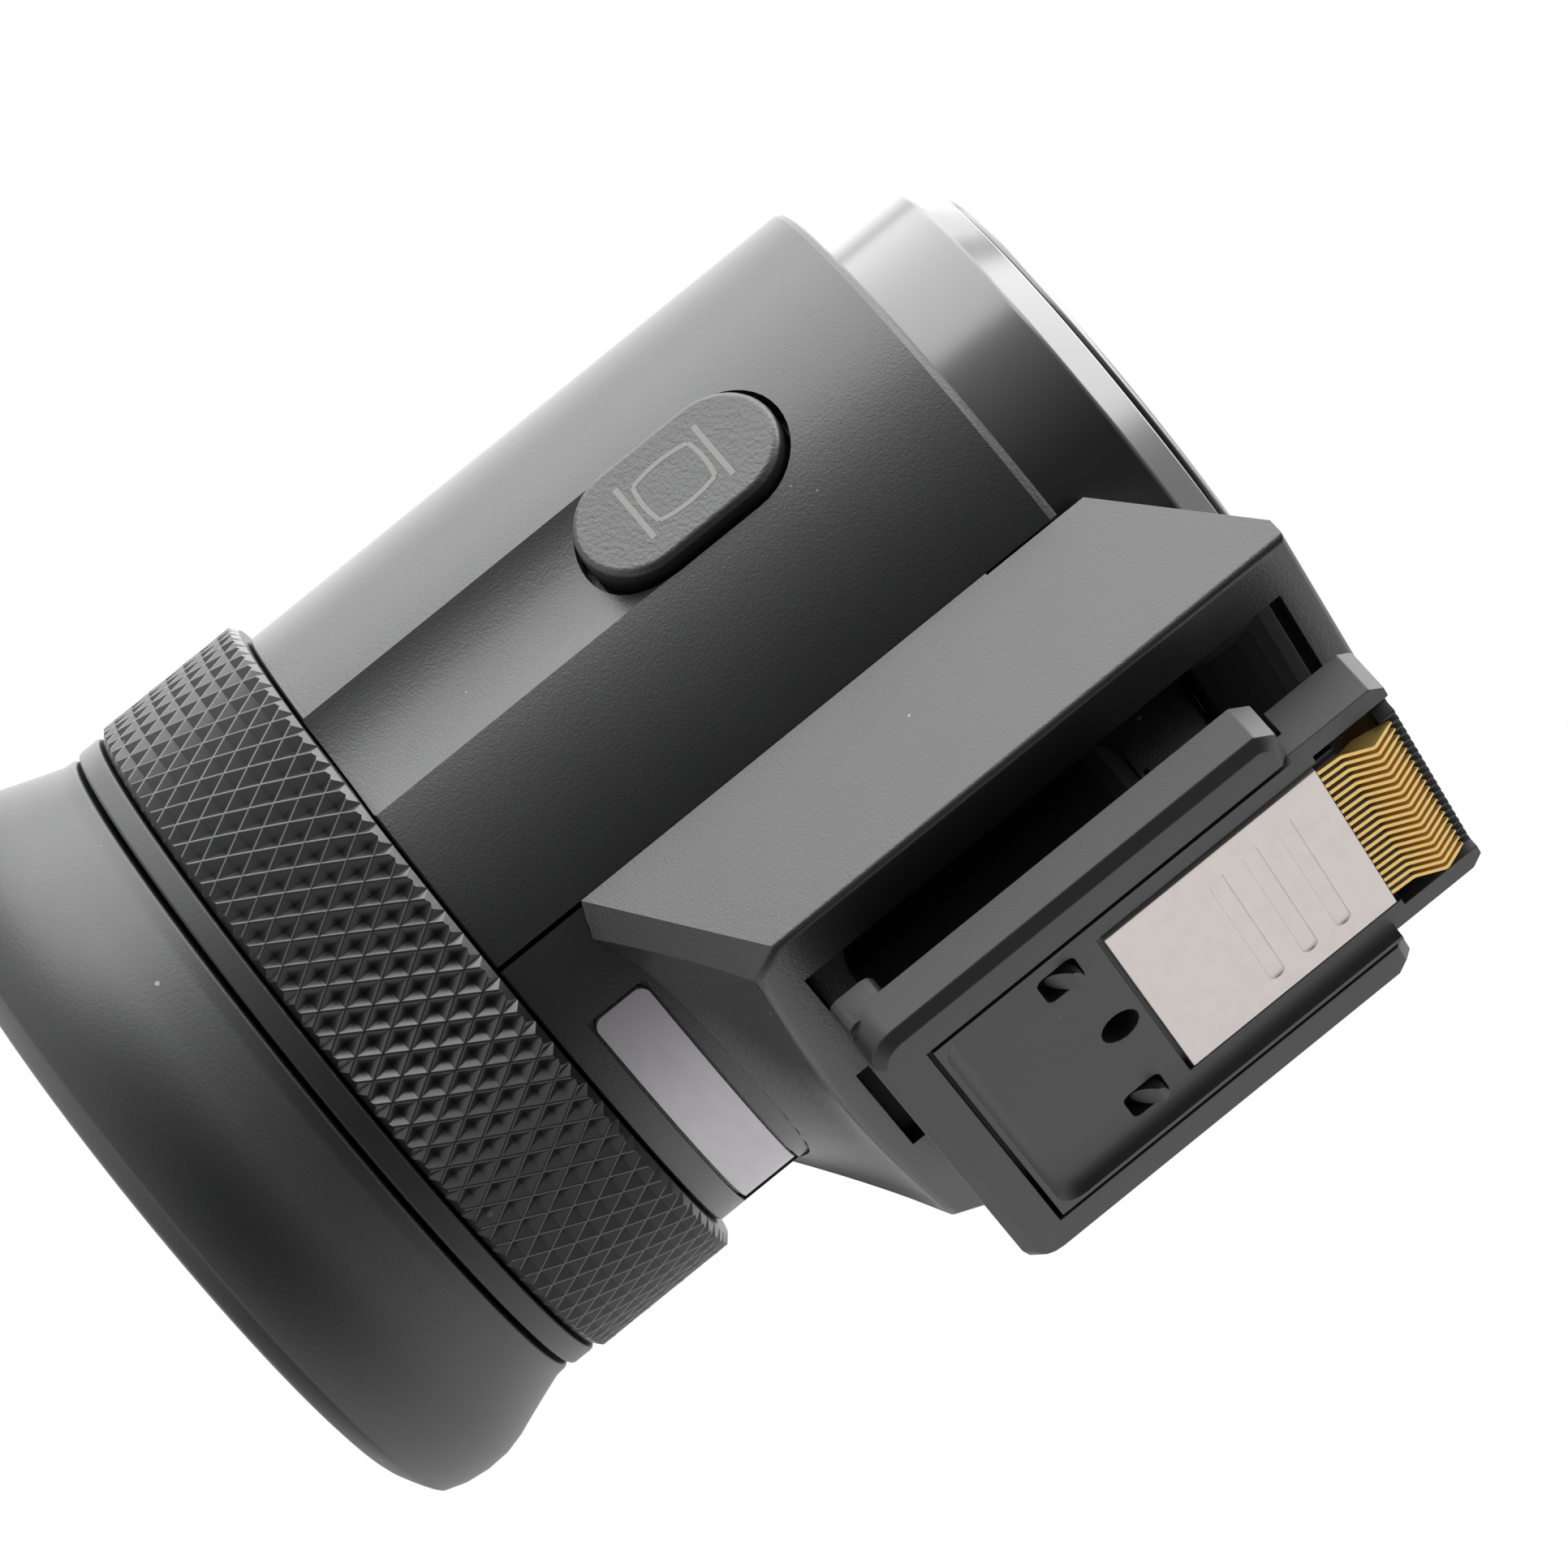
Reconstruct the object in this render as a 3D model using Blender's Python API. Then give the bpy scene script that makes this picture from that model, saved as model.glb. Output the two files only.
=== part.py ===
# Electronic viewfinder that slides into a camera's accessory shoe.
# Metres, +Z up, +Y towards the front. The origin is the middle of the foot's sole.
from math import asin, cos, pi, radians, sin, sqrt

import bmesh
import bpy
from mathutils import Matrix, Vector

# Gaps between pieces
SEAM = 0.0003
SMALL_SEAM = 0.0002
RUN_GAP = 0.0001
CUT_OVERRUN = 0.0006
WELD = 0.000002

# Facets round a full turn
ROUND_STEPS = 52
INNER_STEPS = 40
LENS_STEPS = 32
SMALL_STEPS = 16
SHARP_ANGLE = radians(35)

# Foot: rails that slide under the lips of a camera's shoe
FOOT_WIDTH = 0.0186
FOOT_LENGTH = 0.0181
RAIL_THICKNESS = 0.0020
RAIL_EDGE = 0.0004
FOOT_CORNER = 0.0013
RAIL_END_CHAMFER = 0.0007
LUG_LENGTH = 0.0020
LUG_WIDTH = 0.0024
LUG_RISE = 0.0009
LUG_INSET = 0.0001
RAIL_SLOT = 0.0027
NECK_WIDTH = 0.0122
NECK_LENGTH = 0.0123
NECK_SETBACK = 0.0015
NECK_CORNER = 0.0012

# Contact tray under the foot, and its tongue in front of the rails
TRAY_WIDTH = 0.0140
TRAY_DROP = 0.0004
TRAY_THICKNESS = 0.0009
TRAY_SETBACK = 0.0021
TONGUE_REACH = 0.0041
TONGUE_DEPTH = 0.0020
TONGUE_CEILING = 0.0007
TONGUE_SIDE = 0.0011
TONGUE_CHAMFER = 0.0005
HOOK_SPREAD = 0.0049
HOOK_REAR_SHARE = 0.3425
HOOK_SIZE = (0.0013, 0.0007)
HOOK_NOSE = 0.0005
HOOK_DEPTH = 0.0012
HOOK_HOLE_MARGIN = 0.0004
TRAY_HOLE_RADIUS = 0.0008
TRAY_HOLE_SHARE = 0.431

# Contact plate and the comb of sprung pins
PLATE_WIDTH = 0.01054
PLATE_REAR_SHARE = 0.503
COMB_ROOM = 0.0036
PLATE_THICKNESS = 0.0003
PLATE_PROUD = 0.0001
PLATE_GROOVE = (0.0082, 0.00065)
PLATE_GROOVE_DEPTH = 0.0001
PLATE_GROOVE_PITCH = 0.00154
PLATE_GROOVE_COUNT = 3
PLATE_GROOVE_LEAD = 0.00168
PIN_COUNT = 20
PIN_PITCH = 0.0005
PIN_WIDTH = 0.00026
PIN_THICKNESS = 0.00018
PIN_FLAT = 0.0010
PIN_SLOPE = 0.0010
PIN_DIP = 0.00065
PIN_RETURN = 0.0012
PIN_RISE = 0.0009
PIN_ROOT = 0.00035
CARRIER_THICKNESS = 0.0004
CARRIER_ROOT = 0.0006
CARRIER_MARGIN = 0.0004
FIN_WIDTH = 0.00014
FIN_LENGTH = 0.0008
FIN_HEIGHT = 0.0010
FIN_SETBACK = 0.0001

# Optical axis and barrel
BARREL_LIFT = 0.0025
BARREL_SETBACK = 0.01715
BARREL_RADIUS = 0.0140
BARREL_WALL = 0.0014
BARREL_LENGTH = 0.0255
BARREL_EDGE = 0.0003
PANEL_SPLIT = radians(41)

# Hollow along the barrel that leads the thumb to the button
SCOOP_ANGLE = radians(-1)
SCOOP_WIDTH = 0.0054
SCOOP_DEPTH = 0.00055
SCOOP_SHARE = 0.596

# Display button, its switch and its board
BUTTON_LENGTH = 0.0086
BUTTON_WIDTH = 0.0049
BUTTON_SHARE = 0.6173
BUTTON_PROUD = 0.00045
BUTTON_EDGE = 0.00045
BUTTON_FLANGE = 0.0006
BUTTON_FLANGE_THICKNESS = 0.0004
BUTTON_TRAVEL = 0.0004
BUTTON_STEPS = 10
SWITCH_SIZE = 0.0032
SWITCH_THICKNESS = 0.0004
DOME_RADIUS = 0.0010
DOME_HEIGHT = 0.0003
SWITCH_BOARD_SIZE = (0.0088, 0.0058)
SWITCH_BOARD_THICKNESS = 0.0007
SHELF_WIDTH = 0.0040

# Hinge at the front of the base
HINGE_LEAD = 0.0015
HINGE_INSET = 0.0024
HINGE_PIN_RADIUS = 0.0006
HINGE_PIN_LENGTH = 0.0036
HINGE_STEPS = 20
EAR_RECESS = 0.00175
EAR_THICKNESS = 0.0010
EAR_RADIUS = 0.00125
EAR_ROOT = 0.0006
WASHER_THICKNESS = 0.0004
WASHER_RADIUS = 0.00115
SADDLE_THICKNESS = 0.0006
SADDLE_LENGTH = 0.0094
SADDLE_ARC = radians(78)
DRUM_RADIUS = 0.0039
DRUM_STEPS = 40
DRUM_SETBACK = 0.0003

# Base housing
BASE_WIDTH_SHARE = 0.757
BASE_FLARE = 0.0007
BASE_CHEEK = 0.00195
BASE_REAR_STATION = 0.0043
BASE_RIM_STATION = 0.00705
BASE_RIM_BOW = 0.0007
BASE_STRIPS = 12
BASE_REAR_POINTS = 8
BASE_FRONT_LEAD = 0.0053
BASE_FRONT_RIM = 0.0010
BASE_CORNER = 0.0012
BASE_SOLE_EDGE = 0.0009
CRADLE_WALL = 0.0013
CRADLE_STEP = 0.0034
CRADLE_STEPS = 12
CHEEK_TOP_LEAD = 0.0011
CHEEK_TOP_RISE = 0.0022
CHEEK_INNER_RISE = 0.0012
CAVITY_REAR_WALL = 0.00115
CAVITY_FRONT_WALL = 0.0010
LIP_WIDTH = 0.0005
LIP_DEPTH = 0.00035
REAR_NOTCH_WIDTH = 0.0061
REAR_NOTCH_OFFSET = 0.0013
REAR_NOTCH_DEPTH = 0.0006
REAR_NOTCH_REACH = 0.00075

# Screws that hold the neck
SCREW_SPREAD = 0.0040
SCREW_STATIONS = (0.0120, 0.0190)
SCREW_HEAD_RADIUS = 0.0009
SCREW_HEAD_HEIGHT = 0.0004
SCREW_HEAD_SINK = 0.0003
SCREW_SHANK_RADIUS = 0.0005
SCREW_LENGTH = 0.0028

# Front cap
CAP_GAP = 0.0004
CAP_INSERT = 0.0017
CAP_REACH = 0.0037
CAP_CHAMFER_LENGTH = 0.0011
CAP_MOUTH_INSET = 0.0013
CAP_LIP = 0.0004
CAP_SEAT_INSET = 0.0022
CAP_SEAT_DEPTH = 0.0013
DISC_PROUD = 0.0003
DISC_EDGE = 0.0002
DISC_DISH = 0.0003
DISC_RIM = 0.0010

# Dioptre ring
RING_STEP = 0.0009
RING_LENGTH = 0.0059
RING_KNURL_DEPTH = 0.00045
KNURL_COUNT = 90
KNURL_ROWS = 6
RING_TURN = radians(75)
CELL_TRAVEL_PER_RADIAN = 0.0010

# Eyepiece tube, window and lens cell
TUBE_GAP = 0.0004
TUBE_WALL = 0.0012
TUBE_FRONT = 0.0032
TUBE_REAR = 0.0089
TUBE_FLANGE_RISE = 0.00015
TUBE_FLANGE_LENGTH = 0.0012
WINDOW_THICKNESS = 0.0010
WINDOW_SETBACK = 0.0002
CELL_FRONT = 0.0015
CELL_LENGTH = 0.0065
CELL_WALL = 0.00145
CELL_LEDGE = 0.0009
CELL_LEDGE_LENGTH = 0.0006
LENS_EDGE = 0.0010
LENS_BULGE = 0.0006
LENS_SPACE = 0.0012
RETAINER_LENGTH = 0.0008
RETAINER_WALL = 0.0009
PIN_RADIUS = 0.0005
CAM_PIN_REACH = 0.0009
CAM_PIN_SEAT = 0.0010
CAM_GROOVE_DEPTH = 0.0012
CAM_OVERRUN = radians(6)
CAM_STEPS = 30

# Eyecup ring and eyecup
CUP_RING_STEP = 0.0007
CUP_RING_LENGTH = 0.00125
CUP_NECK_STEP = 0.0006
CUP_FLARE = 0.0016
CUP_LENGTH = 0.0075
CUP_FLARE_LENGTH = 0.0047
CUP_ROUND = 0.0028
CUP_MOUTH_RISE = 0.0002
CUP_MOUTH_ROUND = 0.0010
CUP_THROAT_INSET = 0.0012
CUP_FLOOR = 0.0012
CUP_TUBE_GAP = 0.0002
CUP_ARC_STEPS = 4

# Blank label in a shallow recess under the barrel
LABEL_STATION = 0.0012
LABEL_LENGTH = 0.0026
LABEL_ARC = radians(68)
LABEL_SINK = 0.00035
LABEL_THICKNESS = 0.00015
LABEL_MARGIN = 0.0001

# Display and electronics
PANEL_SHARES = (0.555, 0.476)
PANEL_THICKNESS = 0.0014
HOLDER_SHARES = (0.595, 0.516)
HOLDER_WALL = 0.00125
HOLDER_RING_LENGTH = 0.0016
HOLDER_STEP = 0.0122
HOLDER_GAP = 0.0004
BACKLIGHT_THICKNESS = 0.0025
BOARD_INSET = 0.0015
BOARD_THICKNESS = 0.0008
CHIP_SIZE = 0.0080
CHIP_EDGE = 0.0002
DISPLAY_FLEX_WIDTH = 0.0080
CONTACT_FLEX_WIDTH = 0.0090
FLEX_THICKNESS = 0.0002
FLEX_TAIL = 0.0030
SMALL_EDGE = 0.0002

# Places worked out from the values above
BASE_SOLE = RAIL_THICKNESS + RAIL_SLOT
AXIS_HEIGHT = BASE_SOLE + BARREL_LIFT + BARREL_RADIUS
BARREL_REAR = -BARREL_SETBACK
BARREL_FRONT = BARREL_REAR + BARREL_LENGTH
HINGE_STATION = BARREL_LENGTH + HINGE_LEAD
CRADLE_LENGTH = BARREL_LENGTH - CRADLE_STEP
CHEEK_TOP_STATION = BARREL_LENGTH + CHEEK_TOP_LEAD
BASE_FRONT_STATION = BARREL_LENGTH + BASE_FRONT_LEAD
HOLDER_LENGTH = BARREL_LENGTH - HOLDER_STEP
BUTTON_STATION = BARREL_LENGTH * BUTTON_SHARE
SCOOP_LENGTH = BARREL_LENGTH * SCOOP_SHARE
BARREL_BORE = BARREL_RADIUS - BARREL_WALL
HINGE_DROP = BARREL_RADIUS - HINGE_INSET
HINGE_Y = BARREL_REAR + HINGE_STATION
HINGE_Z = AXIS_HEIGHT - HINGE_DROP
FOOT_REAR = -FOOT_LENGTH / 2
FOOT_FRONT = FOOT_LENGTH / 2
BASE_TOP_WIDTH = 2 * BARREL_RADIUS * BASE_WIDTH_SHARE
BASE_SOLE_WIDTH = BASE_TOP_WIDTH + 2 * BASE_FLARE
CAVITY_WIDTH = BASE_TOP_WIDTH - 2 * BASE_CHEEK
EAR_INSIDE = CAVITY_WIDTH / 2 - EAR_RECESS
TRAY_REAR = FOOT_REAR + TRAY_SETBACK
TONGUE_FRONT = FOOT_FRONT + TONGUE_REACH
TRAY_TOP = TRAY_DROP + TRAY_THICKNESS
TONGUE_TOP = TRAY_DROP + TONGUE_DEPTH
TRAY_RECESS = TRAY_TOP + SEAM
PLATE_REAR = FOOT_REAR + PLATE_REAR_SHARE * FOOT_LENGTH
PLATE_FRONT = TONGUE_FRONT - COMB_ROOM
PLATE_SOLE = TRAY_DROP - PLATE_PROUD
CAP_RADIUS = BARREL_BORE - CAP_GAP
CAP_MOUTH_RADIUS = CAP_RADIUS - CAP_MOUTH_INSET
CAP_SEAT_RADIUS = CAP_RADIUS - CAP_SEAT_INSET
TUBE_RADIUS = BARREL_BORE - TUBE_GAP
TUBE_BORE = TUBE_RADIUS - TUBE_WALL
TUBE_FLANGE_RADIUS = TUBE_RADIUS + TUBE_FLANGE_RISE
HOLDER_RING_RADIUS = TUBE_RADIUS
HOLDER_SIZE = [2 * BARREL_BORE * share for share in HOLDER_SHARES]
PANEL_SIZE = [2 * BARREL_BORE * share for share in PANEL_SHARES]
BOARD_RADIUS = BARREL_BORE - BOARD_INSET
RING_RADIUS = BARREL_RADIUS + RING_STEP
RING_FRONT = BARREL_REAR - SMALL_SEAM
RING_REAR = RING_FRONT - RING_LENGTH
RING_MIDDLE = (RING_FRONT + RING_REAR) / 2
CUP_RING_FRONT = RING_REAR - SEAM
CUP_RING_REAR = CUP_RING_FRONT - CUP_RING_LENGTH
CUP_FRONT = CUP_RING_REAR - SMALL_SEAM
CUP_REAR = CUP_FRONT - CUP_LENGTH
CUP_RING_RADIUS = BARREL_RADIUS + CUP_RING_STEP
CUP_NECK_RADIUS = BARREL_RADIUS + CUP_NECK_STEP
CUP_RADIUS = CUP_NECK_RADIUS + CUP_FLARE
CUP_MOUTH_RADIUS = TUBE_BORE + CUP_MOUTH_RISE
CUP_THROAT_RADIUS = TUBE_BORE - CUP_THROAT_INSET
CRADLE_RADIUS = BARREL_RADIUS + SEAM
CRADLE_OUTER = CRADLE_RADIUS + CRADLE_WALL
BUTTON_Y = BARREL_REAR + BUTTON_STATION
BUTTON_TOP = BARREL_RADIUS + BUTTON_PROUD
BUTTON_BOTTOM = BARREL_BORE - SEAM - BUTTON_FLANGE - SMALL_SEAM
LENS_RADIUS = TUBE_BORE - RUN_GAP - CELL_WALL - RUN_GAP


def clear_scene():
    for item in list(bpy.data.objects):
        bpy.data.objects.remove(item, do_unlink=True)


def make_material(name, color, roughness, metallic=0.0):
    material = bpy.data.materials.new(name)
    material.use_nodes = True
    shader = material.node_tree.nodes["Principled BSDF"]
    shader.inputs["Base Color"].default_value = (*color, 1.0)
    shader.inputs["Roughness"].default_value = roughness
    shader.inputs["Metallic"].default_value = metallic
    return material


def make_axis(name, place):
    # An empty on a joint's axis, which carries the pieces that move about it
    empty = bpy.data.objects.new(name, None)
    empty.location = place
    empty.empty_display_size = BARREL_RADIUS
    bpy.context.collection.objects.link(empty)
    return empty


def place_piece(name, bm, material, carrier=None):
    bmesh.ops.remove_doubles(bm, verts=bm.verts, dist=WELD)
    bmesh.ops.recalc_face_normals(bm, faces=bm.faces)
    mesh = bpy.data.meshes.new(name)
    bm.to_mesh(mesh)
    bm.free()
    mesh.shade_smooth()
    mesh.set_sharp_from_angle(angle=SHARP_ANGLE)
    if material is not None:
        mesh.materials.append(material)
    piece = bpy.data.objects.new(name, mesh)
    bpy.context.collection.objects.link(piece)
    if carrier is not None:
        piece.parent = carrier
        piece.matrix_parent_inverse = Matrix.Translation(-carrier.location)
    return piece


def combine(piece, name, bm, operation):
    # A hidden tool shape that a Boolean modifier cuts away from the piece or joins to it
    tool = place_piece(name, bm, None)
    tool.hide_render = True
    tool.display_type = "WIRE"
    modifier = piece.modifiers.new(name, "BOOLEAN")
    modifier.operation = operation
    modifier.object = tool


def cut(piece, name, bm):
    combine(piece, name, bm, "DIFFERENCE")


def join(piece, name, bm):
    combine(piece, name, bm, "UNION")


def merged(*shapes):
    # Several separate bodies in one mesh, for a tool that acts in several places
    whole = bmesh.new()
    for shape in shapes:
        mesh = bpy.data.meshes.new("shape")
        shape.to_mesh(mesh)
        shape.free()
        whole.from_mesh(mesh)
        bpy.data.meshes.remove(mesh)
    return whole


def box(low, high):
    bm = bmesh.new()
    bmesh.ops.create_cube(bm, size=1.0)
    low, high = Vector(low), Vector(high)
    size = high - low
    bmesh.ops.scale(bm, vec=size, verts=bm.verts)
    bmesh.ops.translate(bm, vec=(low + high) / 2, verts=bm.verts)
    return bm


def bevel_edges(bm, edges, width, segments=1):
    bmesh.ops.bevel(bm, geom=list(edges), offset=width, offset_type="OFFSET", segments=segments,
                    profile=0.5, affect="EDGES", clamp_overlap=True)


def edges_where(bm, test):
    return [edge for edge in bm.edges if all(test(vert.co) for vert in edge.verts)]


def edges_along(bm, direction):
    axis = Vector(direction)
    return [edge for edge in bm.edges
            if abs((edge.verts[0].co - edge.verts[1].co).normalized().dot(axis)) > cos(radians(1))]


def prism(outline, direction):
    # A flat outline, given as points in space, pushed along a direction
    bm = bmesh.new()
    face = bm.faces.new([bm.verts.new(point) for point in outline])
    pushed = bmesh.ops.extrude_face_region(bm, geom=[face])["geom"]
    moved = [item for item in pushed if isinstance(item, bmesh.types.BMVert)]
    bmesh.ops.translate(bm, vec=direction, verts=moved)
    bmesh.ops.recalc_face_normals(bm, faces=bm.faces)
    return bm


def side_prism(outline, half_width):
    # An outline of (along, height) points, as wide as twice the half width
    points = [(-half_width, along, height) for along, height in outline]
    return prism(points, (2 * half_width, 0, 0))


def rod(start, end, radius, steps=SMALL_STEPS):
    start, end = Vector(start), Vector(end)
    bm = bmesh.new()
    bmesh.ops.create_cone(bm, cap_ends=True, segments=steps, radius1=radius, radius2=radius,
                          depth=(end - start).length)
    turn = (end - start).to_track_quat("Z", "Y").to_matrix()
    bmesh.ops.rotate(bm, cent=(0, 0, 0), matrix=turn, verts=bm.verts)
    bmesh.ops.translate(bm, vec=(start + end) / 2, verts=bm.verts)
    return bm


def turned(profile, steps=ROUND_STEPS, closed=True):
    # An outline of (radius, along) points turned once round the optical axis
    bm = bmesh.new()
    verts = [bm.verts.new((radius, along, AXIS_HEIGHT)) for radius, along in profile]
    pairs = zip(verts, verts[1:] + verts[:1]) if closed else zip(verts, verts[1:])
    edges = [bm.edges.new(pair) for pair in pairs]
    bmesh.ops.spin(bm, geom=verts + edges, cent=(0, 0, AXIS_HEIGHT), axis=(0, 1, 0),
                   angle=2 * pi, steps=steps, use_merge=True)
    return bm


def turned_part(profile, start, arc, steps):
    # The same outline as a solid sector; angles run from +X towards +Z
    bm = bmesh.new()
    face = bm.faces.new([bm.verts.new((radius, along, AXIS_HEIGHT)) for radius, along in profile])
    bmesh.ops.rotate(bm, cent=(0, 0, AXIS_HEIGHT), matrix=Matrix.Rotation(-start, 3, "Y"),
                     verts=bm.verts)
    bmesh.ops.spin(bm, geom=[*face.verts, *face.edges, face], cent=(0, 0, AXIS_HEIGHT),
                   axis=(0, -1, 0), angle=arc, steps=steps)
    return bm


def axis_cylinder(radius, rear, front, steps=ROUND_STEPS):
    return rod((0, rear, AXIS_HEIGHT), (0, front, AXIS_HEIGHT), radius, steps)


def arc_points(centre, radius, start, end, steps):
    # Points on an arc, as pairs, with both ends
    turns = [start + (end - start) * step / steps for step in range(steps + 1)]
    return [(centre[0] + radius * cos(turn), centre[1] + radius * sin(turn)) for turn in turns]


def rounded_rectangle(low, high, radius, steps):
    # Corner arcs of a rectangle in the floor plane
    (x0, y0), (x1, y1) = low, high
    corners = [((x1 - radius, y1 - radius), 0), ((x0 + radius, y1 - radius), pi / 2),
               ((x0 + radius, y0 + radius), pi), ((x1 - radius, y0 + radius), 3 * pi / 2)]
    return [point for centre, start in corners
            for point in arc_points(centre, radius, start, start + pi / 2, steps)]


def stadium(length, width, steps):
    # A slot shape: straight sides with round ends, long along the first coordinate
    reach = (length - width) / 2
    radius = width / 2
    return (arc_points((reach, 0), radius, -pi / 2, pi / 2, steps)
            + arc_points((-reach, 0), radius, pi / 2, 3 * pi / 2, steps))


def at_button(bm):
    # Turns a shape made about +X to the button's direction
    bmesh.ops.translate(bm, vec=(0, BUTTON_Y, 0), verts=bm.verts)
    bmesh.ops.rotate(bm, cent=(0, 0, 0), matrix=Matrix.Rotation(-SCOOP_ANGLE, 3, "Y"),
                     verts=bm.verts)
    bmesh.ops.translate(bm, vec=(0, 0, AXIS_HEIGHT), verts=bm.verts)
    return bm


def button_block(low_radius, high_radius, length, width):
    return at_button(box((low_radius, -length / 2, -width / 2), (high_radius, length / 2, width / 2)))


def build_foot(materials):
    half = FOOT_WIDTH / 2
    corner = RAIL_END_CHAMFER
    outline = [(half, FOOT_FRONT - corner), (half - corner, FOOT_FRONT),
               (-half + corner, FOOT_FRONT), (-half, FOOT_FRONT - corner)]
    outline += arc_points((-half + FOOT_CORNER, FOOT_REAR + FOOT_CORNER), FOOT_CORNER, pi, 3 * pi / 2, 4)
    outline += arc_points((half - FOOT_CORNER, FOOT_REAR + FOOT_CORNER), FOOT_CORNER, 3 * pi / 2, 2 * pi, 4)
    bm = prism([(x, y, 0) for x, y in outline], (0, 0, RAIL_THICKNESS))
    bevel_edges(bm, edges_where(bm, lambda place: place.z < WELD), RAIL_EDGE)
    flange = place_piece("foot_flange", bm, materials["foot"])
    recess_half = TRAY_WIDTH / 2 + SEAM
    cut(flange, "tray_recess", box((-recess_half, TRAY_REAR - SEAM, -CUT_OVERRUN),
                                   (recess_half, FOOT_FRONT + CUT_OVERRUN, TRAY_RECESS)))
    lugs = []
    hooks = []
    for side in (-1, 1):
        outer = side * (half - LUG_INSET)
        inner = side * (half - LUG_WIDTH)
        lug = box((min(outer, inner), FOOT_REAR + LUG_INSET, RAIL_THICKNESS - RAIL_EDGE),
                  (max(outer, inner), FOOT_REAR + LUG_LENGTH, RAIL_THICKNESS + LUG_RISE))
        bevel_edges(lug, edges_along(lug, (0, 0, 1)), RAIL_EDGE, 2)
        lugs.append(lug)
        width, length = HOOK_SIZE
        rear = FOOT_REAR + HOOK_REAR_SHARE * FOOT_LENGTH
        root = TRAY_RECESS + RAIL_EDGE / 2
        hook = [(rear, root), (rear, root - HOOK_DEPTH), (rear + length, root - HOOK_DEPTH),
                (rear + length + HOOK_NOSE, root - HOOK_DEPTH + HOOK_NOSE),
                (rear + length, root - HOOK_DEPTH + HOOK_NOSE), (rear + length, root)]
        shape = side_prism(hook, width / 2)
        bmesh.ops.translate(shape, vec=(side * HOOK_SPREAD, 0, 0), verts=shape.verts)
        hooks.append(shape)
    join(flange, "stop_lugs", merged(*lugs))
    join(flange, "tray_hooks", merged(*hooks))

    neck_rear = FOOT_REAR + NECK_SETBACK
    low = (-NECK_WIDTH / 2, neck_rear)
    high = (NECK_WIDTH / 2, neck_rear + NECK_LENGTH)
    neck_sole = RAIL_THICKNESS + SEAM
    saddle_radius = CRADLE_OUTER + SMALL_SEAM
    neck_top = AXIS_HEIGHT - sqrt(saddle_radius**2 - (NECK_WIDTH / 2) ** 2) + CUT_OVERRUN
    bm = prism([(x, y, neck_sole) for x, y in rounded_rectangle(low, high, NECK_CORNER, 3)],
               (0, 0, neck_top - neck_sole))
    neck = place_piece("foot_neck", bm, materials["inner"])
    saddle = axis_cylinder(saddle_radius, neck_rear - CUT_OVERRUN, neck_rear + NECK_LENGTH + CUT_OVERRUN)
    cut(neck, "neck_saddle", saddle)
    cut(neck, "neck_bores", merged(*[rod((x, y, bottom - RUN_GAP), (x, y, AXIS_HEIGHT - BARREL_BORE),
                                         SCREW_SHANK_RADIUS + RUN_GAP)
                                     for x, y, top, bottom in screw_places()]))


def screw_places():
    # Each neck screw's place across and along, the top of its head and its point
    places = []
    for station in SCREW_STATIONS:
        for side in (-1, 1):
            across = side * SCREW_SPREAD
            surface = AXIS_HEIGHT - sqrt(CRADLE_RADIUS ** 2 - across ** 2)
            top = surface - SCREW_HEAD_SINK
            places.append((across, BARREL_REAR + station, top, top - SCREW_LENGTH))
    return places


def build_screws(materials):
    for number, (x, y, top, bottom) in enumerate(screw_places(), start=1):
        seat = top - SCREW_HEAD_HEIGHT
        bm = bmesh.new()
        profile = [(0, bottom), (SCREW_SHANK_RADIUS, bottom), (SCREW_SHANK_RADIUS, seat),
                   (SCREW_HEAD_RADIUS, seat), (SCREW_HEAD_RADIUS, top), (0, top)]
        verts = [bm.verts.new((x + radius, y, height)) for radius, height in profile]
        edges = [bm.edges.new(pair) for pair in zip(verts, verts[1:])]
        bmesh.ops.spin(bm, geom=verts + edges, cent=(x, y, 0), axis=(0, 0, 1), angle=2 * pi,
                       steps=SMALL_STEPS, use_merge=True)
        place_piece(f"neck_screw_{number}", bm, materials["steel"])


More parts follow.
